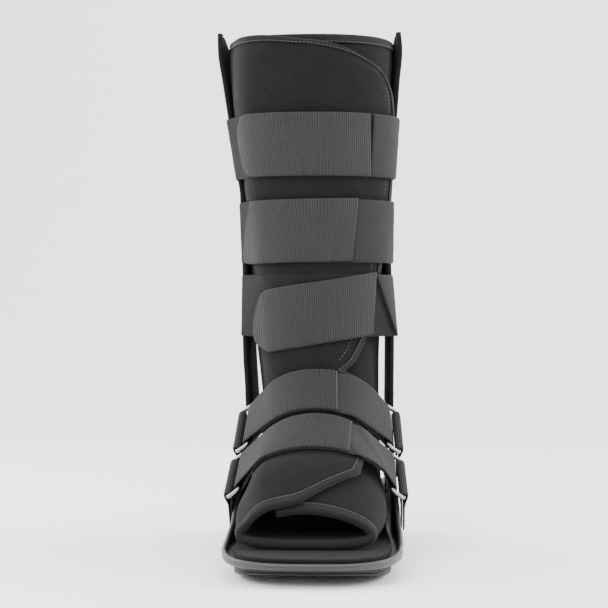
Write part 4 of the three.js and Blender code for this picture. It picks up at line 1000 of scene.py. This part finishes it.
def build_uprights(s):
    """Sleeve and bar on each side."""
    cloth = felt("sleeve cloth", s.sleeve_colour, 0.8, 0.02, 1.3)
    bare = metal("brushed bar", s.bar_colour, 0.34, (1.0, 1.0, 0.04))
    levels = np.concatenate([np.linspace(0, 0.97, 70), [0.985, 1.0]])
    pieces = []
    for name, side in SIDES.items():
        rings = [sleeve_ring(side, share) for share in levels]
        inner = [sleeve_ring(side, share, SLEEVE_WALL) for share in (0.0, 0.2, 0.6, 0.9)]
        sleeve = loft(f"sleeve_{name}", np.array(inner[::-1] + rings))
        finish_piece(sleeve, cloth, (f"upright_sleeve_{name}",))
        pieces.append(sleeve)
        bar = loft(f"bar_{name}", np.array([bar_ring(side, z) for z in bar_levels()]))
        finish_piece(bar, bare, (f"upright_bar_{name}",))
        pieces.append(bar)
        stitches(f"sleeve_stitches_{name}", sleeve_lines(side),
                 thread("sleeve thread", (0.09, 0.09, 0.095)))
    return pieces


def sleeve_ring(side, share, inset=0.0):
    """A sleeve's section: a soft-edged pocket over the bar, slanted at its two ends."""
    z = lerp(SLEEVE_BOTTOM, SLEEVE_TOP, share)
    half, deep = SLEEVE_WIDTH / 2 - 2 * inset, SLEEVE_THICKNESS / 2 - inset
    turn = np.linspace(0, 2 * math.pi, 48, endpoint=False) + math.pi / 48
    y = half * np.sign(np.cos(turn)) * np.abs(np.cos(turn)) ** 0.36
    t = deep * np.sign(np.sin(turn)) * np.abs(np.sin(turn)) ** 0.55
    from_seam = np.abs(y) - half + SLEEVE_SEAM_INSET
    seam = 1 if inset else 1 - 0.45 * np.exp(-(from_seam / 1.3) ** 2)
    x = sleeve_face(side, y, z) - side * (deep + inset - t * seam)
    down = 0.12 * (y - SLEEVE_WIDTH / 2) * (share < 0.03)
    top = lerp(0, -0.05 * (SLEEVE_TOP - SLEEVE_BOTTOM), (y + half) / (2 * half)) * (share > 0.98)
    if share > 0.98:
        y = y * 0.985
    return np.stack([x, y, np.full_like(y, z) + down + top], axis=1)


def sleeve_lines(side):
    """Stitch lines down both edges of a sleeve's outer face and across it near its bottom."""
    lines = []
    z = np.linspace(SLEEVE_BOTTOM + 4, SLEEVE_TOP - 26, 90)
    inset = SLEEVE_WIDTH / 2 - SLEEVE_SEAM_INSET
    for y in (-inset, inset):
        x = sleeve_face(side, np.full_like(z, y), z) - side * 1.1
        lines.append(np.stack([x, np.full_like(z, y), z], axis=1))
    y = np.linspace(-SLEEVE_WIDTH / 2 + 4, SLEEVE_WIDTH / 2 - 4, 14)
    z = np.full_like(y, SLEEVE_BOTTOM + 5)
    lines.append(np.stack([sleeve_face(side, y, z) + side * 0.15, y, z], axis=1))
    return lines


def bar_levels():
    top = lerp(SLEEVE_BOTTOM, SLEEVE_TOP, BAR_TOP)
    low = [BAR_FOOT * WING_HEIGHT - 0.5, BAR_FOOT * WING_HEIGHT, WING_HEIGHT - 2]
    bend = np.linspace(WING_HEIGHT, SLEEVE_BOTTOM + 6, 9)
    return [*low, *bend, *np.linspace(SLEEVE_BOTTOM + 8, top, 40)]


def bar_ring(side, z):
    """A bar's section: flat inside the tray's wing, then up inside the sleeve."""
    half, t = BAR_WIDTH / 2, BAR_THICKNESS
    y = np.array([-half, -half + 0.8, 0, half - 0.8, half, half, half - 0.8, 0, -half + 0.8, -half])
    deep = np.array([0.7, 0, 0, 0, 0.7, t - 0.7, t, t, t, t - 0.7])
    wing = 0.93 * SOLE_HALF_WIDTH - WING_LEAN - WALL_THICKNESS - GAP
    low = side * (wing - deep)
    high = sleeve_face(side, y, max(z, SLEEVE_BOTTOM - 6)) - side * (SLEEVE_WALL + GAP + deep)
    share = smoothstep(z, WING_HEIGHT - 2, SLEEVE_BOTTOM - 4)
    return np.stack([lerp(low, high, share), y, np.full_like(y, z)], axis=1)


def build_sole(s):
    """Tray, outsole and insole pad."""
    places = sole_places()
    _, _, rise, lean, _ = places
    top = RIM_HEIGHT + rise * (WING_HEIGHT - RIM_HEIGHT)
    tilt = lean * WING_LEAN
    foot = FLOOR_BOTTOM + 3.6
    levels = [(7.0, FLOOR_BOTTOM), (3.2, FLOOR_BOTTOM + 0.25), (1.2, FLOOR_BOTTOM + 1.4),
              (0.25, FLOOR_BOTTOM + 2.6)]
    rings = [sole_ring(places, inset, z) for inset, z in levels]
    wall = [0, 0.12, 0.3, 0.5, 0.7, 0.86, 0.94]
    for share in wall:
        z = np.minimum(lerp(foot, top - 1.6, share), top - 1)
        rings.append(sole_ring(places, tilt * share + 0.1, z))
    lip = [(0.0, -1.4), (-0.35, -0.7), (0.15, -0.1), (0.9, 0.35), (WALL_THICKNESS / 2, 0.5),
           (WALL_THICKNESS - 0.9, 0.3), (WALL_THICKNESS - 0.1, -0.5)]
    rings += [sole_ring(places, tilt + inset + 0.2, top + up) for inset, up in lip]
    for share in (0.8, 0.5, 0.2):
        rings.append(sole_ring(places, tilt * share + WALL_THICKNESS + 0.4,
                               lerp(FLOOR_TOP + 1, top - 1.4, share)))
    rings += [sole_ring(places, WALL_THICKNESS + 1.4, FLOOR_TOP + 0.4),
              sole_ring(places, WALL_THICKNESS + 4, FLOOR_TOP)]
    shell = loft("tray", np.array(rings))
    finish_piece(shell, moulded("tray plastic", s.tray_colour, 0.42, 0.00004, 0.25),
                 ("sole_shell",))
    build_outsole(s)
    pad_places = [(9, PAD_BOTTOM), (8.9, PAD_BOTTOM + 0.8), (8.9, PAD_TOP - 1.3),
                  (9.3, PAD_TOP - 0.5), (10.4, PAD_TOP - 0.05), (14, PAD_TOP)]
    pad = loft("insole", np.array([sole_ring(places, inset, z) for inset, z in pad_places]))
    finish_piece(pad, felt("insole cover", s.pad_colour, 0.7, 0.03, 2.0),
                 ("insole_pad",))
    return shell


def build_outsole(s):
    """Ribbed rubber with a groove round its side and treads underneath."""
    first = math.ceil(-0.5 * SOLE_TOE / TREAD_PITCH)
    last = math.floor(0.6 * SOLE_HEEL / TREAD_PITCH)
    centres = (np.arange(first, last) + 0.5) * TREAD_PITCH
    edge = TREAD_WIDTH / 2
    marks = (centres[:, None] + np.array([-edge - 0.15, -edge + 0.15, edge - 0.15, edge + 0.15]))
    places = sole_places(np.sort(marks.ravel()))
    y = places[1]
    near = np.abs(y[:, None] - centres[None, :]).min(axis=1)
    tread = TREAD_DEPTH * (near < edge)
    ground = rocker(y)
    middle = (ground + OUTSOLE_HEIGHT) / 2
    wave = 0.28 * np.sin(y * 2 * math.pi / 3.4) * (np.abs(places[4][:, 1]) > 0.35)
    rings = [
        sole_ring(places, 12.5, ground + tread), sole_ring(places, 11, ground + tread),
        sole_ring(places, 9.9, ground + tread * 0.5 + 0.4), sole_ring(places, 9.2, ground + 1.0),
        sole_ring(places, 9.0 + wave, ground + 1.8), sole_ring(places, 9.0 + wave, middle - 0.9),
        sole_ring(places, 9.3, middle - 0.5), sole_ring(places, 9.9, middle - 0.35),
        sole_ring(places, 9.9, middle + 0.35), sole_ring(places, 9.3, middle + 0.5),
        sole_ring(places, 9.0, middle + 0.9), sole_ring(places, 9.0, OUTSOLE_HEIGHT - 0.6),
        sole_ring(places, 9.3, OUTSOLE_HEIGHT - 0.1), sole_ring(places, 10.5, OUTSOLE_HEIGHT),
    ]
    sole = loft("tread_sole", np.array(rings))
    rubber = moulded("sole rubber", s.rubber_colour, 0.68, 0.00009, 0.4)
    return finish_piece(sole, rubber, ("outsole",))


def pile_face(near, normal, seed):
    """A little unevenness, so that brushed loop cloth isn't flat."""
    bump = soft_noise(near, 0.55, seed) * 0.16 + soft_noise(near, 0.09, seed + 5) * 0.14
    return near + normal * np.maximum(bump, -0.2)[..., None]


def calf_surface(path, low, heights):
    """Places of a strap's near face at given heights along its run."""
    _, a, b, n = path
    share = (heights - low) / CALF_STRAP_WIDTH
    flat = a[:, None, :] + (b - a)[:, None, :] * share[..., None]
    near = np.concatenate([flat, heights[..., None]], axis=-1)
    normal = np.concatenate([np.repeat(n[:, None, :], heights.shape[1], 1),
                             np.zeros((*heights.shape, 1))], axis=-1)
    return near, normal


def build_calf_straps(s):
    """Each strap: a turn of loop pile round the leg and a hook tab on the front."""
    pile = felt("loop pile", s.pile_colour, 2.6, 0.05, 0.8)
    rib = webbing("hook tab webbing", s.tab_colour, s.rib, 0.0011, 0.00022)
    knit = webbing("strap knit", shade(s.tab_colour, 0.6), 0.0011, 0.0009, 0.00009)
    sewn = thread("pale thread", s.thread_colour)
    across = strap_across()
    for name, strap in CALF_STRAPS.items():
        low, outlines = calf_band(strap)
        centre = low + CALF_STRAP_WIDTH / 2
        seam = direction_at(outlines, strap["seam"] * CALF_WIDTH / 2)
        path = calf_path(outlines, BAND_START, seam - 360,
                         lambda d: CALF_LAYER * smoothstep(-d, 80, 118))
        heights = np.repeat((centre + across * CALF_STRAP_WIDTH / 2)[None], len(path[0]), 0)
        near, normal = calf_surface(path, low, heights)
        band = ribbon(f"loop_band_{name}", pile_face(near, normal, 2.0), normal,
                      CALF_STRAP_THICKNESS, path[0], CALF_STRAP_WIDTH)
        finish_piece(band, pile, (f"calf_strap_{name}",))
        band.data.materials.append(knit)
        turn = band.data.uv_layers["weave"].data
        for polygon in band.data.polygons:
            if turn[polygon.loop_start].uv.x * 1000 > path[0][-1] * KNIT_FROM:
                polygon.material_index = 1
        build_hook_tab(name, strap, low, outlines, seam, rib, sewn)


def build_hook_tab(name, strap, low, outlines, seam, material, sewn):
    """The ribbed tab that closes a calf strap, round at its free end."""
    end = max(strap["tab_end"], TAB_REACH_LIMIT) * CALF_WIDTH / 2
    path = calf_path(outlines, seam - 0.15, direction_at(outlines, end) - 12,
                     lambda d: np.full_like(d, CALF_LAYER), 1.0)
    x = (path[1][:, 0] + path[2][:, 0]) / 2 + CALF_STRAP_THICKNESS * path[3][:, 0]
    keep = int(np.argmax(x < end)) if (x < end).any() else len(x)
    path = [part[:keep] for part in path]
    length, total = path[0], path[0][-1]
    round_end = TAB_ROUNDING * strap["rounding"]
    into = np.maximum(0, round_end - (total - length))
    cut = round_end - np.sqrt(np.maximum(0, round_end ** 2 - into ** 2))
    cut = np.minimum(cut, CALF_STRAP_WIDTH / 2 - 0.6)
    base = low + CALF_STRAP_WIDTH * (strap["tab_up"] - strap["drop"] * length / total)
    middle, half = base + CALF_STRAP_WIDTH / 2, CALF_STRAP_WIDTH / 2 - cut
    across = strap_across(17)
    near, normal = calf_surface(path, low, middle[:, None] + across[None] * half[:, None])
    tab = ribbon(f"hook_tab_cloth_{name}", near, normal, CALF_STRAP_THICKNESS, length,
                 CALF_STRAP_WIDTH)
    finish_piece(tab, material, (f"hook_tab_{name}",))
    face = near + normal * (CALF_STRAP_THICKNESS + 0.25)
    first, last = [int(np.searchsorted(length, at)) for at in (LADDER_FROM, LADDER_TO)]
    share = np.linspace(0.03, 0.97, LADDER_RUNGS)
    rungs = [face[first:last, 1] + (face[first:last, -2] - face[first:last, 1]) * f
             for f in share]
    lines = [face[first, 1:-1], face[last, 1:-1], *rungs]
    stitches(f"seam_stitches_{name}", lines, sewn, 1.75, 1.5, 0.75)


def build_instep_straps(s):
    """Two webbing straps that run through the rings and back on themselves."""
    material = webbing("instep webbing", s.strap_colour, s.rib, 0.0012, 0.0002)
    sewn = thread("strap thread", s.thread_colour)
    across = strap_across(13)
    for name, strap in INSTEP_STRAPS.items():
        tilt, low, high = instep_path(strap)
        length = arc((low[:, 0] + high[:, 0]) / 2)
        places = np.arange(0, length[-1], 1.5)
        low, high = [np.stack(resample(length, (e[:, 0], e[:, 1]), places), 1)
                     for e in (low, high)]
        share = ((across + 1) / 2)[None, :, None]
        along = (across * INSTEP_STRAP_WIDTH / 2)[None, :]
        faces = []
        for k in (0, 1):
            flat = low[:, None, k] + (high - low)[:, None, k] * share
            faces.append(place_in(tilt, flat[..., 0], flat[..., 1],
                                  np.broadcast_to(along, flat.shape[:2])))
        middle = (faces[0] + faces[1]) / 2
        thin = 1 - 0.6 * smoothstep(np.abs(across), 0.9, 1.0)[None, :, None]
        rings = np.concatenate([middle + (faces[0] - middle) * thin,
                                (middle + (faces[1] - middle) * thin)[:, ::-1]], axis=1)
        half = (across + 1) / 2 * INSTEP_STRAP_WIDTH
        band = loft(f"instep_webbing_{name}", rings, False, places,
                    np.concatenate([half, half[::-1]]))
        finish_piece(band, material, (f"instep_strap_{name}",))
        off = unit(faces[0] - faces[1])
        top = faces[0] + off * STITCH_LIFT
        lines = [top[-2, 1:-1]]
        stitches(f"instep_end_stitches_{name}", lines, sewn, 2.4, 1.7, 0.5)


def rounded_path(corners, radius, count=7):
    """A closed path through four corners with round turns."""
    path = []
    for k, p in enumerate(corners):
        before = p + unit(corners[k - 1] - p) * radius
        after = p + unit(corners[(k + 1) % 4] - p) * radius
        for t in np.linspace(0, 1, count):
            path.append((1 - t) ** 2 * before + 2 * t * (1 - t) * p + t ** 2 * after)
    return np.array(path)


def wire_rings(path, radius, sides=14):
    """Round sections along a closed flat path."""
    flat = unit(np.cross(path[7] - path[0], path[-7] - path[0]))
    ahead = unit(np.roll(path, -1, 0) - np.roll(path, 1, 0))
    out = np.cross(ahead, flat)
    turn = np.linspace(0, 2 * math.pi, sides, endpoint=False)
    return (path[:, None] + out[:, None] * (radius * np.cos(turn))[None, :, None]
            + flat * (radius * np.sin(turn))[None, :, None])


def build_rings(s):
    """Wire rings, the webbing tabs that hold them and the rivets."""
    steel = metal("ring steel", s.ring_colour, 0.26, (1.0, 1.0, 1.0))
    stud = metal("rivet steel", s.rivet_colour, 0.3, (1.0, 1.0, 1.0))
    cloth = webbing("tab webbing", s.tab_colour, 0.0014, 0.0012, 0.00018)
    sewn = thread("tab thread", (0.12, 0.12, 0.125))
    for name, strap in INSTEP_STRAPS.items():
        for word, side in SIDES.items():
            tilt = instep_frame(strap)
            half = INSTEP_STRAP_WIDTH / 2 + GAP + WIRE

            def at(outer, along):
                bar = ring_bar(strap, side, along, outer)
                return place_in(tilt, bar[0], bar[1], along)

            corners = [at(False, -half), at(False, half), at(True, half), at(True, -half)]
            path = rounded_path(corners, RING_WIRE * 0.9)
            wire = wire_rings(path, WIRE - RING_SLIMMING)
            ring = loft(f"wire_ring_{name}_{word}", wire, closed=True)
            finish_piece(ring, steel, (f"ring_{name}_{word}",))
            build_ring_tab(name, word, strap, side, cloth, sewn)
            _, _, end, _, outer, _ = tab_lines(strap)
            p = place_in(tilt, 0, end + TAB_RIVET_UP * TAB_LENGTH, 0)
            rivet(f"tab_stud_{name}_{word}", side, outer + TAB_THICKNESS / 2 + GAP, p[1], p[2],
                  stud, f"tab_rivet_{name}_{word}")
    for word, side in SIDES.items():
        for level, up in BAR_RIVETS.items():
            z = up * WING_HEIGHT
            x = float(wall_face(0, z - RIVET_DIAMETER / 2)) + GAP
            rivet(f"bar_stud_{level}_{word}", side, x, 0, z, stud, f"bar_rivet_{level}_{word}")


def build_ring_tab(name, word, strap, side, material, sewn):
    """Webbing folded round a ring's outer bar, with both ends down the tray's wall."""
    tilt, bar, end, inner, outer, half = tab_lines(strap)
    t = TAB_THICKNESS
    turn, bend = BAR_HOLD + t / 2, bar[1] - 0.3 * TAB_LENGTH
    angle = np.linspace(0, math.pi, 15)
    fold = bar + turn * np.stack([np.cos(angle), np.sin(angle)], axis=1)
    path = np.vstack([[outer, end], [outer, bend], fold, [inner, bend], [inner, end + 2]])
    length = arc(path)
    places = np.arange(0, length[-1], 1.2)
    path = soften(resample(length, [path], places)[0], 2)
    ahead = unit(np.gradient(path, axis=0))
    n = np.stack([ahead[:, 1], -ahead[:, 0]], axis=1) * t / 2
    across = strap_across(11)
    thin = 1 - 0.6 * smoothstep(np.abs(across), 0.88, 1.0)
    along = (across * half)[None, :]
    sway = 0.07 * along * smoothstep(path[:, 1], bend, bar[1])[:, None]
    faces = []
    for sign in (-1, 1):
        x = path[:, :1] + sign * n[:, :1] * thin + sway
        y = path[:, 1:] + sign * n[:, 1:] * thin
        faces.append(place_in(tilt, side * x, y, np.broadcast_to(along, x.shape)))
    rings = np.concatenate([faces[0], faces[1][:, ::-1]], axis=1)
    width = (across + 1) / 2 * INSTEP_STRAP_WIDTH
    tab = loft(f"fold_tab_{name}_{word}", rings, False, places,
               np.concatenate([width, width[::-1]]))
    finish_piece(tab, material, (f"ring_tab_{name}_{word}",))
    out = unit(faces[1] - faces[0])
    face = faces[1] + out * STITCH_LIFT
    k = int(np.searchsorted(places, TAB_LENGTH * 0.62))
    box = [face[2, 1:-1], face[k, 1:-1], face[2:k + 1, 1], face[2:k + 1, -2]]
    stitches(f"tab_box_stitches_{name}_{word}", box, sewn, 2.6, 1.8, 0.5)


def rivet(name, side, x, y, z, material, node):
    """A domed head with a rolled edge."""
    radius = RIVET_DIAMETER / 2
    profile = [(0.94, 0.0), (1.0, 0.12), (1.0, 0.28), (0.95, 0.42), (0.86, 0.5), (0.8, 0.56),
               (0.7, 0.74), (0.52, 0.9), (0.3, 0.98), (0.1, 1.0)]
    turn = np.linspace(0, 2 * math.pi, 32, endpoint=False)
    rings = []
    for share, rise in profile:
        ring = np.stack([np.full_like(turn, side * (x + rise * RIVET_RISE)),
                         y + share * radius * np.cos(turn), z + share * radius * np.sin(turn)], 1)
        rings.append(ring)
    head = loft(name, np.array(rings))
    return finish_piece(head, material, (node,))


def build_patch_stitches(s):
    """Seams on the over flap, beside its edge."""
    row = np.linspace(0.6, 4.9, 160)
    width = sheet_width(row)
    across = 1 - FLAP_SEAM_INSET / width
    lift = -0.1 - strap_free(sheet_at(across, row, 0.0)) * s.puff * 1000
    edge = sheet_at(across, row, lift + 0.35)
    return stitches("flap_stitches", [edge], thread("flap thread", (0.03, 0.0305, 0.032)),
                    3.2, 2.3, 0.6)


def build_stage(s):
    """Pale floor that sweeps up behind, soft lights and the camera."""
    sweep = [(-3.0, 0.0), (1.2, 0.0)]
    sweep += [(1.2 + 0.8 * math.sin(a), 0.8 - 0.8 * math.cos(a))
              for a in np.linspace(0, math.pi / 2, 24)[1:]]
    sweep.append((2.0, 4.0))
    points = [(x, y, z) for y, z in sweep for x in (-5.0, 5.0)]
    faces = [(2 * k, 2 * k + 1, 2 * k + 3, 2 * k + 2) for k in range(len(sweep) - 1)]
    floor = new_object("stage_floor", np.array(points) * 1000, faces)
    material, tree, bsdf, add = shader("stage paper", 0.9)
    place = add("ShaderNodeTexCoord").outputs["Object"]
    tree.links.new(mottle(add, place, 3.0, s.floor_colour, 0.995, 1.0), bsdf.inputs["Base Color"])
    floor.data.materials.append(material)
    for polygon in floor.data.polygons:
        polygon.use_smooth = True
    world = bpy.data.worlds.new("stage world")
    world.use_nodes = True
    background = next(n for n in world.node_tree.nodes if n.type == "BACKGROUND")
    background.inputs["Color"].default_value = (0.96, 0.98, 1.0, 1)
    background.inputs["Strength"].default_value = s.fill
    bpy.context.scene.world = world
    for name, where, size, power in (("key", (-0.9, -1.5, 1.5), 1.0, 1.0),
                                     ("rim_left", (-1.3, 0.35, 0.7), 0.8, 0.7),
                                     ("rim_right", (1.4, 0.1, 0.8), 0.8, 0.8),
                                     ("top", (0.2, -0.2, 2.2), 1.4, 0.7)):
        light = bpy.data.lights.new(name, "AREA")
        light.energy = s.key * power
        light.size = size
        lamp = bpy.data.objects.new(name, light)
        lamp.location = where
        aim = Vector((0, -0.03, 0.2)) - Vector(where)
        lamp.rotation_euler = aim.to_track_quat("-Z", "Y").to_euler()
        bpy.context.scene.collection.objects.link(lamp)
    camera_data = bpy.data.cameras.new("camera")
    camera_data.lens = CAMERA_LENS
    camera_data.sensor_width = 36.0
    camera_data.dof.use_dof = False
    camera = bpy.data.objects.new("camera", camera_data)
    camera.location = CAMERA_PLACE
    camera.rotation_euler = (math.radians(90), 0.0, math.radians(CAMERA_TURN))
    bpy.context.scene.collection.objects.link(camera)
    bpy.context.scene.camera = camera
    return floor


# The add-on: settings, one operator a group, a panel

def colour_setting(name, text, default):
    return FloatVectorProperty(name=name, description=text, default=default, subtype="COLOR",
                               size=3, min=0.0, max=1.0)


def length_setting(name, text, default):
    return FloatProperty(name=name, description=text, default=default, subtype="DISTANCE",
                         unit="LENGTH", min=0.0)


class BootLinerSettings(bpy.types.PropertyGroup):
    colour: colour_setting("Felt", "Colour of the brushed liner", (0.0066, 0.0069, 0.007))
    puff: length_setting("Puff", "How far the foam stands proud between straps", 0.0013)
    fold: length_setting("Fold", "Depth of the soft folds", 0.0011)


class BootBindingSettings(bpy.types.PropertyGroup):
    colour: colour_setting("Tape", "Colour of the edge tape", (0.011, 0.0111, 0.0113))
    width: length_setting("Width", "How far the tape reaches over each face", 0.0048)


class BootUprightSettings(bpy.types.PropertyGroup):
    sleeve_colour: colour_setting("Sleeve", "Colour of the sleeves", (0.007, 0.0072, 0.0075))
    bar_colour: colour_setting("Bar", "Colour of the metal bars", (0.5, 0.505, 0.515))


class BootSoleSettings(bpy.types.PropertyGroup):
    tray_colour: colour_setting("Tray", "Colour of the plastic tray", (0.024, 0.0243, 0.0246))
    rubber_colour: colour_setting("Rubber", "Colour of the outsole", (0.013, 0.0132, 0.0134))
    pad_colour: colour_setting("Insole", "Colour of the insole's cover", (0.0075, 0.0077, 0.008))


class BootCalfSettings(bpy.types.PropertyGroup):
    pile_colour: colour_setting("Pile", "Colour of the loop pile", (0.0085, 0.0088, 0.009))
    tab_colour: colour_setting("Tab", "Colour of the hook tabs", (0.03, 0.0306, 0.0312))
    thread_colour: colour_setting("Thread", "Colour of the seams", (0.34, 0.34, 0.35))
    rib: length_setting("Rib pitch", "Distance from one rib of the webbing to the next", 0.0017)


class BootInstepSettings(bpy.types.PropertyGroup):
    strap_colour: colour_setting("Webbing", "Colour of the instep straps", (0.0205, 0.0209, 0.0213))
    thread_colour: colour_setting("Thread", "Colour of the seams", (0.07, 0.07, 0.072))
    rib: length_setting("Rib pitch", "Distance from one rib of the webbing to the next", 0.0016)


class BootRingSettings(bpy.types.PropertyGroup):
    ring_colour: colour_setting("Ring", "Colour of the wire rings", (0.22, 0.223, 0.228))
    rivet_colour: colour_setting("Rivet", "Colour of the rivet heads", (0.5, 0.51, 0.53))
    tab_colour: colour_setting("Tab", "Colour of the ring tabs", (0.022, 0.0225, 0.023))


class BootStageSettings(bpy.types.PropertyGroup):
    floor_colour: colour_setting("Floor", "Colour of the floor", (0.94, 0.94, 0.94))
    fill: FloatProperty(name="Fill", description="Strength of the light all round",
                        default=1.9, min=0.0)
    key: FloatProperty(name="Key", description="Power of the lamps", default=34.0, min=0.0,
                       unit="POWER")


class BootBuilder:
    """What the operators share: each builds one group from its settings."""

    bl_options = {"REGISTER", "UNDO"}

    def execute(self, context):
        self.build(getattr(context.scene, self.settings))
        return {"FINISHED"}


class BOOT_OT_liner(BootBuilder, bpy.types.Operator):
    """Build the padded liner"""

    bl_idname = "boot.liner"
    bl_label = "Liner"
    settings = "boot_liner"

    def build(self, s):
        build_liner(s)
        build_patch_stitches(s)


class BOOT_OT_binding(BootBuilder, bpy.types.Operator):
    """Build the tape round the liner's edge"""

    bl_idname = "boot.binding"
    bl_label = "Edge tape"
    settings = "boot_binding"

    def build(self, s):
        build_binding(s)


class BOOT_OT_uprights(BootBuilder, bpy.types.Operator):
    """Build the two bars and their sleeves"""

    bl_idname = "boot.uprights"
    bl_label = "Uprights"
    settings = "boot_uprights"

    def build(self, s):
        build_uprights(s)


class BOOT_OT_sole(BootBuilder, bpy.types.Operator):
    """Build the tray, the outsole and the insole"""

    bl_idname = "boot.sole"
    bl_label = "Sole"
    settings = "boot_sole"

    def build(self, s):
        build_sole(s)


class BOOT_OT_calf_straps(BootBuilder, bpy.types.Operator):
    """Build the three calf straps"""

    bl_idname = "boot.calf_straps"
    bl_label = "Calf straps"
    settings = "boot_calf"

    def build(self, s):
        build_calf_straps(s)


class BOOT_OT_instep_straps(BootBuilder, bpy.types.Operator):
    """Build the two instep straps"""

    bl_idname = "boot.instep_straps"
    bl_label = "Instep straps"
    settings = "boot_instep"

    def build(self, s):
        build_instep_straps(s)


class BOOT_OT_rings(BootBuilder, bpy.types.Operator):
    """Build the rings, their tabs and the rivets"""

    bl_idname = "boot.rings"
    bl_label = "Rings and rivets"
    settings = "boot_rings"

    def build(self, s):
        build_rings(s)


class BOOT_OT_stage(BootBuilder, bpy.types.Operator):
    """Build the floor, the lights and the camera"""

    bl_idname = "boot.stage"
    bl_label = "Stage"
    settings = "boot_stage"

    def build(self, s):
        build_stage(s)


OPERATORS = (BOOT_OT_liner, BOOT_OT_binding, BOOT_OT_uprights, BOOT_OT_sole,
             BOOT_OT_calf_straps, BOOT_OT_instep_straps, BOOT_OT_rings, BOOT_OT_stage)
SETTINGS = {
    "boot_liner": BootLinerSettings, "boot_binding": BootBindingSettings,
    "boot_uprights": BootUprightSettings, "boot_sole": BootSoleSettings,
    "boot_calf": BootCalfSettings, "boot_instep": BootInstepSettings,
    "boot_rings": BootRingSettings, "boot_stage": BootStageSettings,
}


class BOOT_PT_sidebar(bpy.types.Panel):
    """Settings and build buttons for the boot"""

    bl_label = "Medical Walking Boot"
    bl_space_type = "VIEW_3D"
    bl_region_type = "UI"
    bl_category = "Boot"

    def draw(self, context):
        for operator in OPERATORS:
            box = self.layout.box()
            box.operator(operator.bl_idname)
            settings = getattr(context.scene, operator.settings)
            for name in settings.__annotations__:
                box.prop(settings, name)


def register():
    for cls in (*SETTINGS.values(), *OPERATORS, BOOT_PT_sidebar):
        bpy.utils.register_class(cls)
    for name, cls in SETTINGS.items():
        setattr(bpy.types.Scene, name, PointerProperty(type=cls))


def unregister():
    for name in SETTINGS:
        delattr(bpy.types.Scene, name)
    for cls in reversed((*SETTINGS.values(), *OPERATORS, BOOT_PT_sidebar)):
        bpy.utils.unregister_class(cls)


def main():
    register()
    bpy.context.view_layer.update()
    for operator in OPERATORS:
        group, name = operator.bl_idname.split(".")
        getattr(getattr(bpy.ops, group), name)()


if __name__ == "__main__":
    main()
